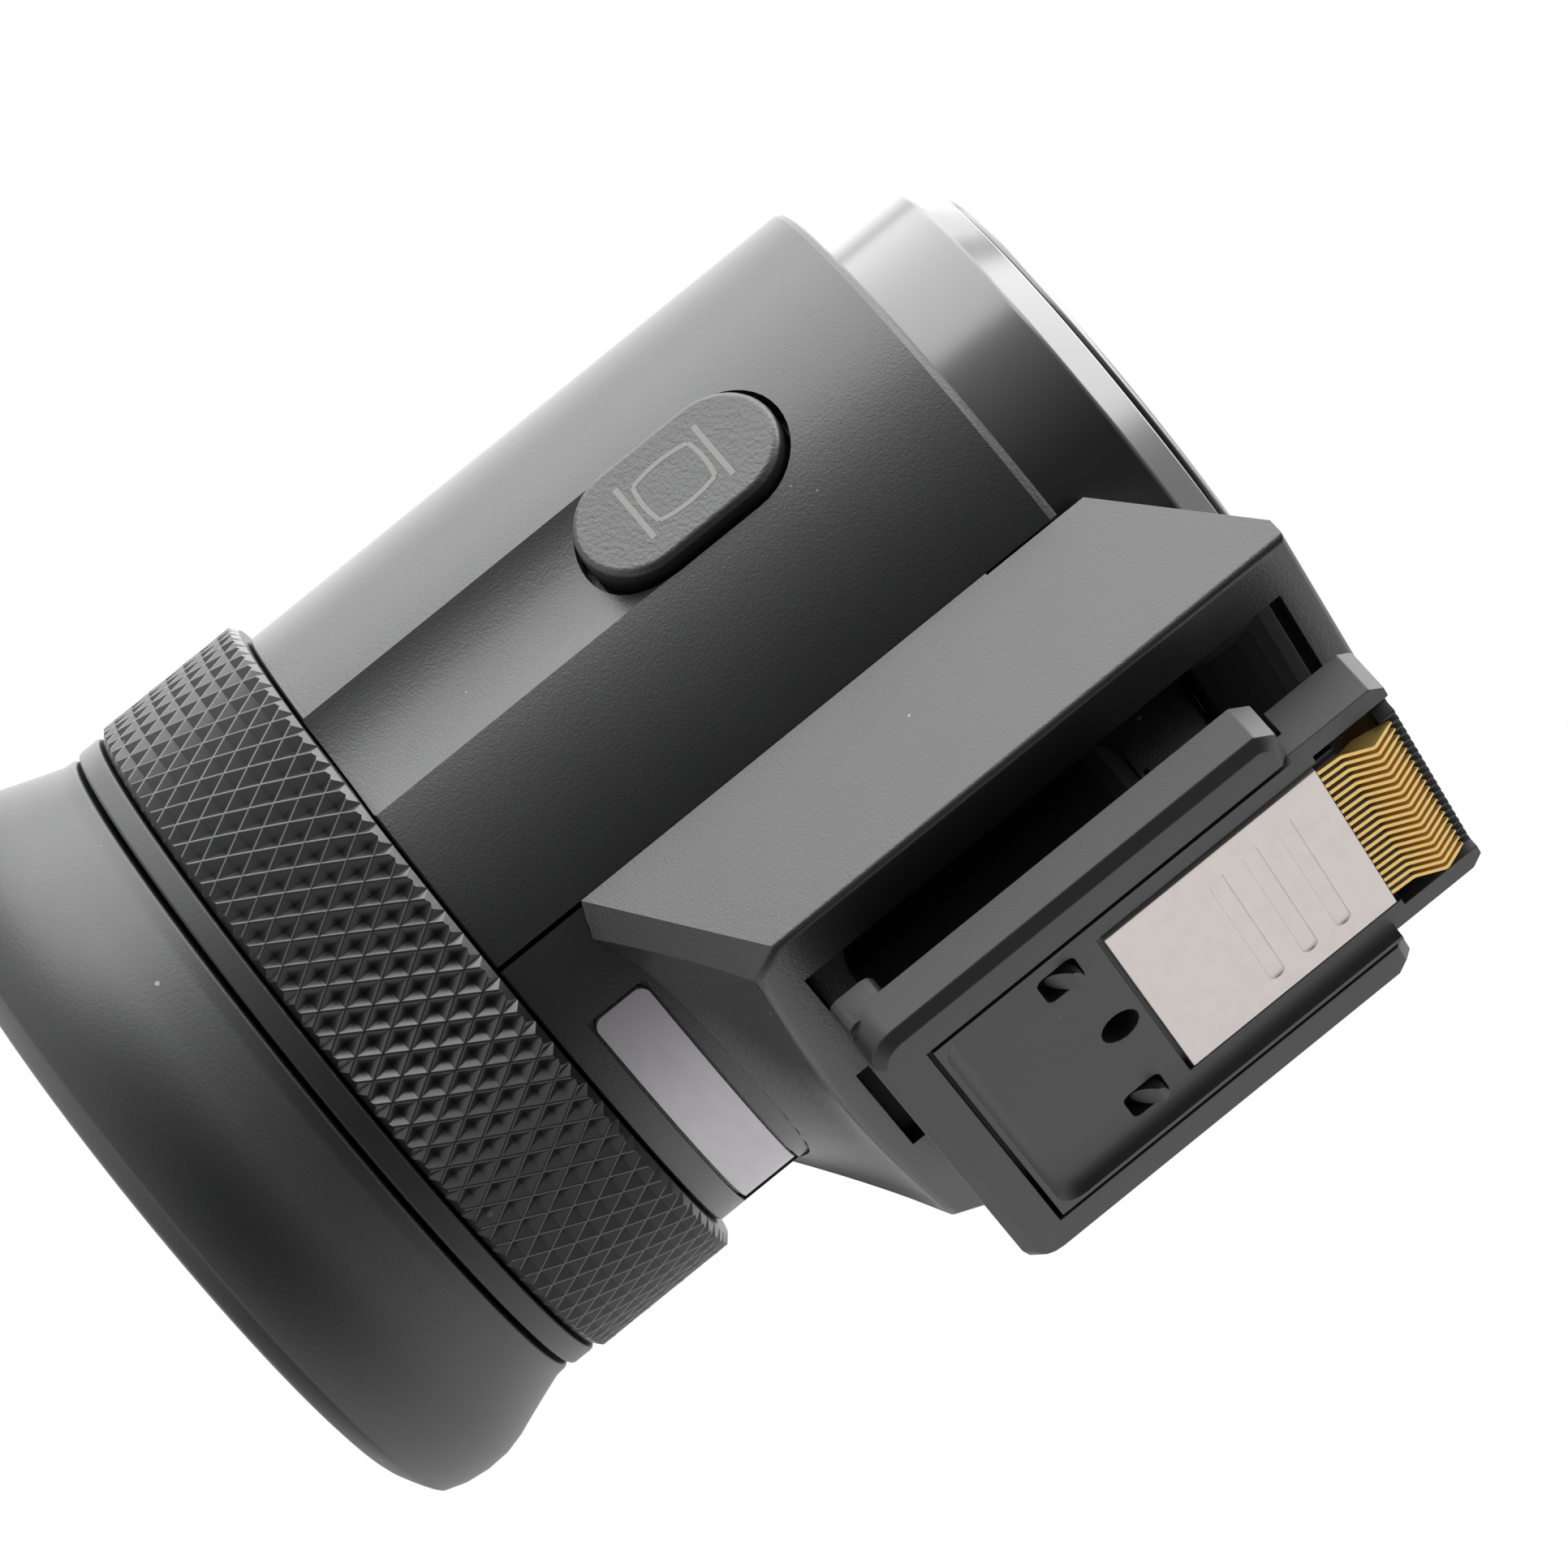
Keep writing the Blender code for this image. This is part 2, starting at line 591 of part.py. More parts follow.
def build_tray(materials):
    outline = [(TRAY_REAR, TRAY_DROP), (TONGUE_FRONT, TRAY_DROP), (TONGUE_FRONT, TONGUE_TOP),
               (FOOT_FRONT + SEAM, TONGUE_TOP), (FOOT_FRONT + SEAM, TRAY_TOP), (TRAY_REAR, TRAY_TOP)]
    bm = side_prism(outline, TRAY_WIDTH / 2)
    bevel_edges(bm, [edge for edge in edges_along(bm, (0, 0, 1))
                     if edge.verts[0].co.y > TONGUE_FRONT - WELD], TONGUE_CHAMFER)
    tray = place_piece("contact_tray", bm, materials["tray"])
    pocket_half = TRAY_WIDTH / 2 - TONGUE_SIDE
    pocket_rear = PLATE_FRONT + SMALL_SEAM
    cut(tray, "comb_pocket", box((-pocket_half, pocket_rear, -CUT_OVERRUN),
                                 (pocket_half, TONGUE_FRONT + CUT_OVERRUN, TONGUE_TOP - TONGUE_CEILING)))
    plate_half = PLATE_WIDTH / 2 + SMALL_SEAM
    cut(tray, "plate_pocket", box((-plate_half, PLATE_REAR - SMALL_SEAM, -CUT_OVERRUN),
                                  (plate_half, pocket_rear + CUT_OVERRUN,
                                   PLATE_SOLE + PLATE_THICKNESS + SMALL_SEAM)))
    width, length = HOOK_SIZE
    hole = FOOT_REAR + TRAY_HOLE_SHARE * FOOT_LENGTH
    holes = [rod((0, hole, -CUT_OVERRUN), (0, hole, TRAY_TOP + CUT_OVERRUN), TRAY_HOLE_RADIUS)]
    for side in (-1, 1):
        middle = side * HOOK_SPREAD
        reach = width / 2 + HOOK_HOLE_MARGIN
        rear = FOOT_REAR + HOOK_REAR_SHARE * FOOT_LENGTH - HOOK_HOLE_MARGIN
        holes.append(box((middle - reach, rear, -CUT_OVERRUN),
                         (middle + reach, rear + length + HOOK_NOSE + 2 * HOOK_HOLE_MARGIN,
                          TRAY_TOP + CUT_OVERRUN)))
    cut(tray, "tray_holes", merged(*holes))


def build_contacts(materials):
    half = PLATE_WIDTH / 2
    plate = place_piece("contact_plate", box((-half, PLATE_REAR, PLATE_SOLE),
                                             (half, PLATE_FRONT, PLATE_SOLE + PLATE_THICKNESS)),
                        materials["plate"])
    grooves = []
    groove_length, groove_width = PLATE_GROOVE
    for number in range(PLATE_GROOVE_COUNT):
        middle = PLATE_FRONT - PLATE_GROOVE_LEAD - number * PLATE_GROOVE_PITCH - groove_width / 2
        outline = [(x, middle + y, PLATE_SOLE - CUT_OVERRUN)
                   for x, y in stadium(groove_length, groove_width, 3)]
        grooves.append(prism(outline, (0, 0, CUT_OVERRUN + PLATE_GROOVE_DEPTH)))
    cut(plate, "plate_grooves", merged(*grooves))

    row_half = PIN_COUNT * PIN_PITCH / 2
    carrier_top = TONGUE_TOP - TONGUE_CEILING - SEAM
    carrier_sole = carrier_top - CARRIER_THICKNESS
    carrier_rear = PLATE_FRONT + SMALL_SEAM + SMALL_SEAM
    carrier_front = TONGUE_FRONT - SMALL_SEAM
    root_sole = PLATE_SOLE + PIN_THICKNESS
    outline = [(carrier_rear, carrier_top), (carrier_rear, root_sole),
               (carrier_rear + CARRIER_ROOT, root_sole), (carrier_rear + CARRIER_ROOT, carrier_sole),
               (carrier_front, carrier_sole), (carrier_front, carrier_top)]
    comb = place_piece("contact_comb", side_prism(outline, row_half + CARRIER_MARGIN),
                       materials["contacts"])
    pins = []
    for number in range(PIN_COUNT):
        across = (number + 0.5) * PIN_PITCH - row_half
        pin = side_prism(pin_outline(carrier_rear + PIN_ROOT - CARRIER_ROOT / 2,
                                     root_sole + PIN_THICKNESS / 2), PIN_WIDTH / 2)
        bmesh.ops.translate(pin, vec=(across, 0, 0), verts=pin.verts)
        pins.append(pin)
    join(comb, "sprung_pins", merged(*pins))
    fins = []
    for number in range(PIN_COUNT + 1):
        across = number * PIN_PITCH - row_half
        fins.append(box((across - FIN_WIDTH / 2, carrier_front - FIN_LENGTH, carrier_top - FIN_HEIGHT),
                        (across + FIN_WIDTH / 2, carrier_front - FIN_SETBACK,
                         carrier_top - CARRIER_THICKNESS / 2)))
    join(comb, "comb_fins", merged(*fins))

    flex_half = CONTACT_FLEX_WIDTH / 2
    flex_sole = TONGUE_TOP + SMALL_SEAM
    flex_rear = FOOT_REAR + NECK_SETBACK + NECK_LENGTH + SEAM
    flex_top = AXIS_HEIGHT - CRADLE_OUTER - SEAM
    outline = [(flex_rear, flex_top), (flex_rear, flex_sole), (TONGUE_FRONT - TONGUE_SIDE, flex_sole),
               (TONGUE_FRONT - TONGUE_SIDE, flex_sole + FLEX_THICKNESS),
               (flex_rear + FLEX_THICKNESS, flex_sole + FLEX_THICKNESS),
               (flex_rear + FLEX_THICKNESS, flex_top)]
    place_piece("contact_flex", side_prism(outline, flex_half), materials["flex"])


def pin_outline(rear, top):
    # One bent contact seen from the side: flat, down to its bend, and back up to its tip
    line = [(rear, top), (rear + PIN_FLAT, top),
            (rear + PIN_FLAT + PIN_SLOPE, top - PIN_DIP),
            (rear + PIN_FLAT + PIN_SLOPE + PIN_RETURN, top - PIN_DIP + PIN_RISE)]
    under = [(along, height - PIN_THICKNESS) for along, height in line]
    return line + under[::-1]


def base_top():
    # Just above the line where the cheeks run out against the barrel
    return AXIS_HEIGHT - BARREL_RADIUS * sin(PANEL_SPLIT) + BARREL_EDGE


def front_slope():
    # How far the slanted front of the cheeks falls back per unit of height
    return (BASE_FRONT_STATION - CHEEK_TOP_STATION) / (HINGE_Z + CHEEK_TOP_RISE - BASE_SOLE - BASE_FRONT_RIM)


def base_section(share):
    # Side view of the housing at a share of its half width. The rear wall is straight at the
    # sides, and sweeps back along the barrel's underside towards the middle
    top = base_top()
    cheek_top = HINGE_Z + CHEEK_TOP_RISE
    front = BARREL_REAR + BASE_FRONT_STATION
    rim = BASE_SOLE + BASE_FRONT_RIM
    top_front = BARREL_REAR + CHEEK_TOP_STATION - front_slope() * (top - cheek_top)
    barrel_foot = AXIS_HEIGHT - sqrt(BARREL_RADIUS ** 2 - (share * BASE_TOP_WIDTH / 2) ** 2)
    rear_top = BARREL_REAR + BASE_REAR_STATION
    rear_rim = BARREL_REAR + BASE_RIM_STATION - BASE_RIM_BOW * (1 - share ** 2)
    hollowness = 2 - share ** 2
    points = []
    for step in range(BASE_REAR_POINTS + 1):
        drop = step / BASE_REAR_POINTS
        along = rear_top + (rear_rim - rear_top) * (1 - (1 - drop) ** hollowness)
        points.append((along, barrel_foot + (BASE_SOLE - barrel_foot) * drop))
    points.insert(0, (rear_top, top))
    return points + [(front, BASE_SOLE), (front, rim), (top_front, top)]


def loft(sections):
    # A closed skin over flat sections that all have the same number of points
    bm = bmesh.new()
    loops = [[bm.verts.new(point) for point in section] for section in sections]
    bm.faces.new(loops[0])
    bm.faces.new(loops[-1])
    for first, second in zip(loops, loops[1:]):
        for corner in range(len(first)):
            after = (corner + 1) % len(first)
            bm.faces.new([first[corner], first[after], second[after], second[corner]])
    bmesh.ops.recalc_face_normals(bm, faces=bm.faces)
    return bm


def base_block():
    top = base_top()
    taper = BASE_TOP_WIDTH / BASE_SOLE_WIDTH
    sections = []
    for strip in range(BASE_STRIPS + 1):
        share = 2 * strip / BASE_STRIPS - 1
        section = []
        for along, height in base_section(abs(share)):
            width = 1 + (taper - 1) * (height - BASE_SOLE) / (top - BASE_SOLE)
            section.append((share * width * BASE_SOLE_WIDTH / 2, along, height))
        sections.append(section)
    bm = loft(sections)
    side = BASE_TOP_WIDTH / 2 - BASE_CORNER / 2
    rear = BARREL_REAR + BASE_RIM_STATION + WELD
    bevel_edges(bm, edges_where(bm, lambda place: abs(place.x) > side and place.y < rear), BASE_CORNER, 3)
    bevel_edges(bm, sole_outline(bm), BASE_SOLE_EDGE, 2)
    return bm


def sole_outline(bm):
    # The edges where the sole meets the walls
    return [edge for edge in edges_where(bm, lambda place: place.z < BASE_SOLE + WELD)
            if edge.calc_face_angle(0) > SHARP_ANGLE]


def build_base(materials):
    top = base_top()
    bm = base_block()
    base = place_piece("base_housing", bm, materials["body"])

    cut(base, "barrel_room", axis_cylinder(CRADLE_RADIUS, BARREL_REAR - CUT_OVERRUN,
                                           BARREL_REAR + CHEEK_TOP_STATION))
    half = CAVITY_WIDTH / 2
    rear = BARREL_REAR + BASE_RIM_STATION + CAVITY_REAR_WALL
    front = BARREL_REAR + BASE_FRONT_STATION - CAVITY_FRONT_WALL
    cradle_front = BARREL_REAR + CRADLE_LENGTH
    room = box((-half, cradle_front, BASE_SOLE - CUT_OVERRUN), (half, front, top + CUT_OVERRUN))
    cut(base, "hinge_room", room)
    rim = BASE_SOLE + BASE_FRONT_RIM
    beyond = front + CAVITY_FRONT_WALL + CUT_OVERRUN
    cut(base, "tilt_room", box((-half, front - CUT_OVERRUN, rim), (half, beyond, top + CUT_OVERRUN)))
    cut(base, "under_cradle", under_cradle(half, rear, cradle_front + CUT_OVERRUN))
    lip_low = (-half - LIP_WIDTH, rear - LIP_WIDTH, BASE_SOLE - CUT_OVERRUN)
    lip_high = (half + LIP_WIDTH, front + LIP_WIDTH, BASE_SOLE + LIP_DEPTH)
    cut(base, "sole_lip", box(lip_low, lip_high))
    notch_middle = -REAR_NOTCH_OFFSET
    notch_half = REAR_NOTCH_WIDTH / 2
    notch_low = (notch_middle - notch_half, rear - REAR_NOTCH_REACH, BASE_SOLE - CUT_OVERRUN)
    notch_high = (notch_middle + notch_half, rear + CUT_OVERRUN, BASE_SOLE + REAR_NOTCH_DEPTH)
    cut(base, "rear_notch", box(notch_low, notch_high))
    cut(base, "cheek_relief", merged(*[cheek_relief(side) for side in (-1, 1)]))
    sinks = []
    shanks = []
    for x, y, head_top, point in screw_places():
        seat = head_top - SCREW_HEAD_HEIGHT
        over = (x, y, AXIS_HEIGHT - BARREL_BORE)
        sinks.append(rod((x, y, seat - RUN_GAP), over, SCREW_HEAD_RADIUS + RUN_GAP))
        shanks.append(rod((x, y, point), (x, y, seat), SCREW_SHANK_RADIUS + RUN_GAP))
    cut(base, "screw_sinks", merged(*sinks))
    cut(base, "screw_bores", merged(*shanks))
    start, end = hinge_pin_span()
    bores = []
    for side in (-1, 1):
        mouth = (side * (half - CUT_OVERRUN), HINGE_Y, HINGE_Z)
        floor = (side * (end + RUN_GAP), HINGE_Y, HINGE_Z)
        bores.append(rod(mouth, floor, HINGE_PIN_RADIUS + RUN_GAP, HINGE_STEPS))
    cut(base, "pin_bores", merged(*bores))


def under_cradle(half, rear, front):
    # The hollow below the cradle: wide as the cavity, closed above by the cradle's wall
    widest = asin(half / CRADLE_OUTER)
    arc = arc_points((0, AXIS_HEIGHT), CRADLE_OUTER, widest - pi / 2, -widest - pi / 2, CRADLE_STEPS)
    points = [(half, BASE_SOLE - CUT_OVERRUN), *arc, (-half, BASE_SOLE - CUT_OVERRUN)]
    return prism([(x, rear, z) for x, z in points], (0, front - rear, 0))


def cheek_relief(side):
    # Slopes the cheek's inner top edge, so that the barrel's edge passes over it as it tilts
    inner, outer = CAVITY_WIDTH / 2, BASE_TOP_WIDTH / 2
    low, high = HINGE_Z + CHEEK_INNER_RISE, HINGE_Z + CHEEK_TOP_RISE
    slope = (high - low) / (outer - inner)
    reach = CUT_OVERRUN
    rear = BARREL_REAR + CRADLE_LENGTH + CUT_OVERRUN
    points = [(inner - reach, low - slope * reach), (outer + reach, high + slope * reach),
              (outer + reach, AXIS_HEIGHT), (inner - reach, AXIS_HEIGHT)]
    outline = [(side * x, rear, z) for x, z in points]
    return prism(outline, (0, BASE_FRONT_STATION - CRADLE_LENGTH, 0))


def hinge_pin_span():
    start = EAR_INSIDE - SMALL_SEAM
    return start, start + HINGE_PIN_LENGTH


def build_hinge(materials, tilt_axis):
    start, end = hinge_pin_span()
    washer_inside = EAR_INSIDE + EAR_THICKNESS + RUN_GAP
    for side, word in ((1, "right"), (-1, "left")):
        pin = rod((side * start, HINGE_Y, HINGE_Z), (side * end, HINGE_Y, HINGE_Z), HINGE_PIN_RADIUS,
                  HINGE_STEPS)
        place_piece(f"hinge_pin_{word}", pin, materials["steel"])
        inner = side * washer_inside
        outer = side * (washer_inside + WASHER_THICKNESS)
        washer = place_piece(f"friction_washer_{word}",
                             rod((inner, HINGE_Y, HINGE_Z), (outer, HINGE_Y, HINGE_Z), WASHER_RADIUS,
                                 HINGE_STEPS), materials["washer"])
        cut(washer, f"washer_bore_{word}", rod((inner - side * CUT_OVERRUN, HINGE_Y, HINGE_Z),
                                               (outer + side * CUT_OVERRUN, HINGE_Y, HINGE_Z),
                                               HINGE_PIN_RADIUS + RUN_GAP, HINGE_STEPS))
    saddle_radius = BARREL_BORE - SEAM
    saddle_front = BARREL_FRONT - CAP_INSERT - SEAM - RUN_GAP
    profile = [(saddle_radius - SADDLE_THICKNESS, saddle_front - SADDLE_LENGTH),
               (saddle_radius, saddle_front - SADDLE_LENGTH), (saddle_radius, saddle_front),
               (saddle_radius - SADDLE_THICKNESS, saddle_front)]
    bracket = place_piece("hinge_bracket",
                          turned_part(profile, -pi / 2 - SADDLE_ARC / 2, SADDLE_ARC, ROUND_STEPS // 4),
                          materials["bracket"], tilt_axis)
    ears = []
    bores = []
    for side in (-1, 1):
        middle = side * (EAR_INSIDE + EAR_THICKNESS / 2)
        ear = side_prism(ear_outline(saddle_front), EAR_THICKNESS / 2)
        bmesh.ops.translate(ear, vec=(middle, 0, 0), verts=ear.verts)
        ears.append(ear)
        left = (middle - EAR_THICKNESS, HINGE_Y, HINGE_Z)
        right = (middle + EAR_THICKNESS, HINGE_Y, HINGE_Z)
        bores.append(rod(left, right, HINGE_PIN_RADIUS + RUN_GAP, HINGE_STEPS))
    join(bracket, "hinge_ears", merged(*ears))
    cut(bracket, "ear_bores", merged(*bores))
    build_drum(materials, tilt_axis)


def build_drum(materials, tilt_axis):
    # Fills the gap below the cap, round about the hinge so that it stays clear as the barrel tilts
    half = EAR_INSIDE - SEAM
    drum = place_piece("hinge_drum", rod((-half, HINGE_Y, HINGE_Z), (half, HINGE_Y, HINGE_Z), DRUM_RADIUS,
                                         DRUM_STEPS), materials["body"], tilt_axis)
    rear = HINGE_Y - DRUM_RADIUS - CUT_OVERRUN
    front = HINGE_Y + DRUM_RADIUS + CUT_OVERRUN
    low = HINGE_Z - DRUM_RADIUS - CUT_OVERRUN
    high = HINGE_Z + DRUM_RADIUS + CUT_OVERRUN
    cut(drum, "drum_cap_room", axis_cylinder(CAP_RADIUS + SMALL_SEAM, rear, front))
    cut(drum, "drum_barrel_room", box((-half - CUT_OVERRUN, rear, low),
                                      (half + CUT_OVERRUN, BARREL_FRONT + SMALL_SEAM, high)))
    foot = BARREL_REAR + BASE_FRONT_STATION - DRUM_SETBACK
    rim = BASE_SOLE + BASE_FRONT_RIM
    slant = [(foot - front_slope() * (height - rim), height) for height in (low, high)]
    beyond = foot + DRUM_RADIUS
    cut(drum, "drum_front_room", side_prism([*slant, (beyond, high), (beyond, low)], half + CUT_OVERRUN))


def ear_outline(saddle_front):
    # Side view of one ear: from the saddle, under the cap, to a round end on the hinge
    step = saddle_front + RUN_GAP
    root = step - EAR_ROOT
    root_top = AXIS_HEIGHT - sqrt((BARREL_BORE - SEAM - SADDLE_THICKNESS / 2) ** 2 - EAR_INSIDE ** 2)
    round_end = arc_points((HINGE_Y, HINGE_Z), EAR_RADIUS, pi / 2, -pi / 2, 8)
    chin = HINGE_Z - EAR_RADIUS / 2
    return [(root, HINGE_Z + EAR_RADIUS / 4), (root, root_top), (step, root_top),
            (step, HINGE_Z + EAR_RADIUS), *round_end, (step + EAR_ROOT, chin)]


def build_barrel(materials, tilt_axis):
    profile = [(BARREL_BORE, BARREL_REAR), (BARREL_RADIUS, BARREL_REAR),
               (BARREL_RADIUS, BARREL_FRONT - BARREL_EDGE), (BARREL_RADIUS - BARREL_EDGE, BARREL_FRONT),
               (BARREL_BORE, BARREL_FRONT)]
    seam_angle = SMALL_SEAM / BARREL_RADIUS
    shell = place_piece("barrel_shell",
                        turned_part(profile, -PANEL_SPLIT, pi + 2 * PANEL_SPLIT, ROUND_STEPS),
                        materials["body"], tilt_axis)
    chord = SCOOP_WIDTH / 2
    scoop_radius = (chord ** 2 + SCOOP_DEPTH ** 2) / (2 * SCOOP_DEPTH)
    scoop_out = sqrt(BARREL_RADIUS ** 2 - chord ** 2) - SCOOP_DEPTH + scoop_radius
    centre = (scoop_out * cos(SCOOP_ANGLE), AXIS_HEIGHT + scoop_out * sin(SCOOP_ANGLE))
    cut(shell, "thumb_scoop", rod((centre[0], BARREL_REAR - CUT_OVERRUN, centre[1]),
                                  (centre[0], BARREL_REAR + SCOOP_LENGTH, centre[1]), scoop_radius,
                                  ROUND_STEPS))
    outline = [(BUTTON_BOTTOM, y, z) for y, z in stadium(BUTTON_LENGTH + 2 * SEAM, BUTTON_WIDTH + 2 * SEAM,
                                                         BUTTON_STEPS)]
    cut(shell, "button_hole", at_button(prism(outline, (BUTTON_TOP + CUT_OVERRUN - BUTTON_BOTTOM, 0, 0))))

    panel_start = -pi + PANEL_SPLIT + seam_angle
    panel_arc = pi - 2 * PANEL_SPLIT - 2 * seam_angle
    panel = place_piece("lower_panel", turned_part(profile, panel_start, panel_arc, ROUND_STEPS // 4),
                        materials["body"], tilt_axis)
    floor = BARREL_RADIUS - LABEL_SINK
    label_rear = BARREL_REAR + LABEL_STATION
    label_front = label_rear + LABEL_LENGTH
    recess = [(floor, label_rear), (BARREL_RADIUS + CUT_OVERRUN, label_rear),
              (BARREL_RADIUS + CUT_OVERRUN, label_front), (floor, label_front)]
    cut(panel, "label_recess", turned_part(recess, -pi / 2 - LABEL_ARC / 2, LABEL_ARC, ROUND_STEPS // 4))
    notch_low = EAR_INSIDE - SEAM
    notch_high = EAR_INSIDE + EAR_THICKNESS + SEAM
    notch_rear = BARREL_FRONT - CAP_INSERT - SEAM - EAR_ROOT - SEAM
    cut(panel, "ear_notches", merged(*[
        box((min(side * notch_low, side * notch_high), notch_rear, AXIS_HEIGHT - BARREL_RADIUS),
            (max(side * notch_low, side * notch_high), BARREL_FRONT + CUT_OVERRUN,
             AXIS_HEIGHT - CAP_MOUTH_RADIUS / 2)) for side in (-1, 1)]))
    under = floor + LABEL_MARGIN
    sticker = [(under, label_rear + LABEL_MARGIN), (under + LABEL_THICKNESS, label_rear + LABEL_MARGIN),
               (under + LABEL_THICKNESS, label_front - LABEL_MARGIN), (under, label_front - LABEL_MARGIN)]
    arc = LABEL_ARC - 2 * LABEL_MARGIN / BARREL_RADIUS
    place_piece("blank_label", turned_part(sticker, -pi / 2 - arc / 2, arc, ROUND_STEPS // 4),
                materials["label"], tilt_axis)


def build_front(materials, tilt_axis):
    rear = BARREL_FRONT - CAP_INSERT
    shoulder = BARREL_FRONT + CAP_REACH
    front = shoulder + CAP_CHAMFER_LENGTH
    seat = front - CAP_SEAT_DEPTH
    profile = [(CAP_SEAT_RADIUS, rear), (CAP_RADIUS, rear), (CAP_RADIUS, shoulder),
               (CAP_MOUTH_RADIUS + CAP_LIP, front), (CAP_MOUTH_RADIUS, front), (CAP_MOUTH_RADIUS, seat),
               (CAP_SEAT_RADIUS, seat)]
    place_piece("front_cap", turned(profile), materials["gloss"], tilt_axis)
    disc_radius = CAP_MOUTH_RADIUS - SMALL_SEAM
    face = front + DISC_PROUD
    profile = [(0, seat + SMALL_SEAM), (disc_radius, seat + SMALL_SEAM), (disc_radius, face - DISC_EDGE),
               (disc_radius - DISC_EDGE, face), (disc_radius - DISC_RIM, face),
               (disc_radius - DISC_RIM - DISC_DISH, face - DISC_DISH), (0, face - DISC_DISH)]
    place_piece("front_disc", turned(profile, INNER_STEPS, closed=False), materials["gloss"], tilt_axis)


def build_ring(materials, ring_axis):
    # The knurl is a lattice of staggered diamonds: valleys meet where row plus column is even,
    # and a peak stands where it is odd
    columns = 2 * KNURL_COUNT
    row_pitch = RING_LENGTH / KNURL_ROWS
    valley = RING_RADIUS - RING_KNURL_DEPTH
    bm = bmesh.new()
    lattice = []
    for row in range(KNURL_ROWS + 1):
        along = RING_REAR + row * row_pitch
        loop = []
        for column in range(columns):
            peak = (row + column) % 2 == 1 and 0 < row < KNURL_ROWS
            radius = RING_RADIUS if peak else valley
            turn = 2 * pi * column / columns
            loop.append(bm.verts.new((radius * cos(turn), along, AXIS_HEIGHT + radius * sin(turn))))
        lattice.append(loop)
    for row in range(KNURL_ROWS):
        for column in range(columns):
            here, there = lattice[row], lattice[row + 1]
            after = (column + 1) % columns
            corners = [here[column], here[after], there[after], there[column]]
            if (row + column) % 2 == 1:
                corners = corners[1:] + corners[:1]
            bm.faces.new(corners[:3])
            bm.faces.new([corners[0], corners[2], corners[3]])
    bore = TUBE_RADIUS + RUN_GAP
    bore_loops = [round_loop(bm, bore, along, KNURL_COUNT) for along in (RING_REAR, RING_FRONT)]
    for rim, inner in zip((lattice[0], lattice[-1]), bore_loops):
        close_rim(bm, rim, inner)
    rear_bore, front_bore = bore_loops
    for step in range(KNURL_COUNT):
        after = (step + 1) % KNURL_COUNT
        bm.faces.new([rear_bore[step], rear_bore[after], front_bore[after], front_bore[step]])
    ring = place_piece("diopter_ring", bm, materials["ring"], ring_axis)
    cut(ring, "cam_groove", cam_groove(bore))


def round_loop(bm, radius, along, count):
    return [bm.verts.new((radius * cos(2 * pi * step / count), along,
                          AXIS_HEIGHT + radius * sin(2 * pi * step / count))) for step in range(count)]


def close_rim(bm, rim, inner):
    # An end face between a rim and a bore loop that has half as many points
    for step in range(len(inner)):
        after = (step + 1) % len(inner)
        first, middle, last = rim[2 * step], rim[2 * step + 1], rim[(2 * step + 2) % len(rim)]
        bm.faces.new([first, middle, inner[step]])
        bm.faces.new([middle, inner[after], inner[step]])
        bm.faces.new([middle, last, inner[after]])


def cam_groove(bore):
    # A helical groove inside the ring: the pin in it moves one pitch as the ring turns.
    # Angles run from +Z towards +X, the way that a positive turn about +Y goes
    half = PIN_RADIUS + RUN_GAP
    reach = RING_TURN + CAM_OVERRUN
    inner, outer = bore - CUT_OVERRUN, bore + CAM_GROOVE_DEPTH
    sections = []
    for step in range(CAM_STEPS + 1):
        turn = -reach + 2 * reach * step / CAM_STEPS
        middle = RING_MIDDLE - CELL_TRAVEL_PER_RADIAN * turn
        low, high = middle - half, middle + half
        corners = [(inner, low), (outer, low), (outer, high), (inner, high)]
        sections.append([(radius * sin(turn), along, AXIS_HEIGHT + radius * cos(turn))
                         for radius, along in corners])
    return loft(sections)


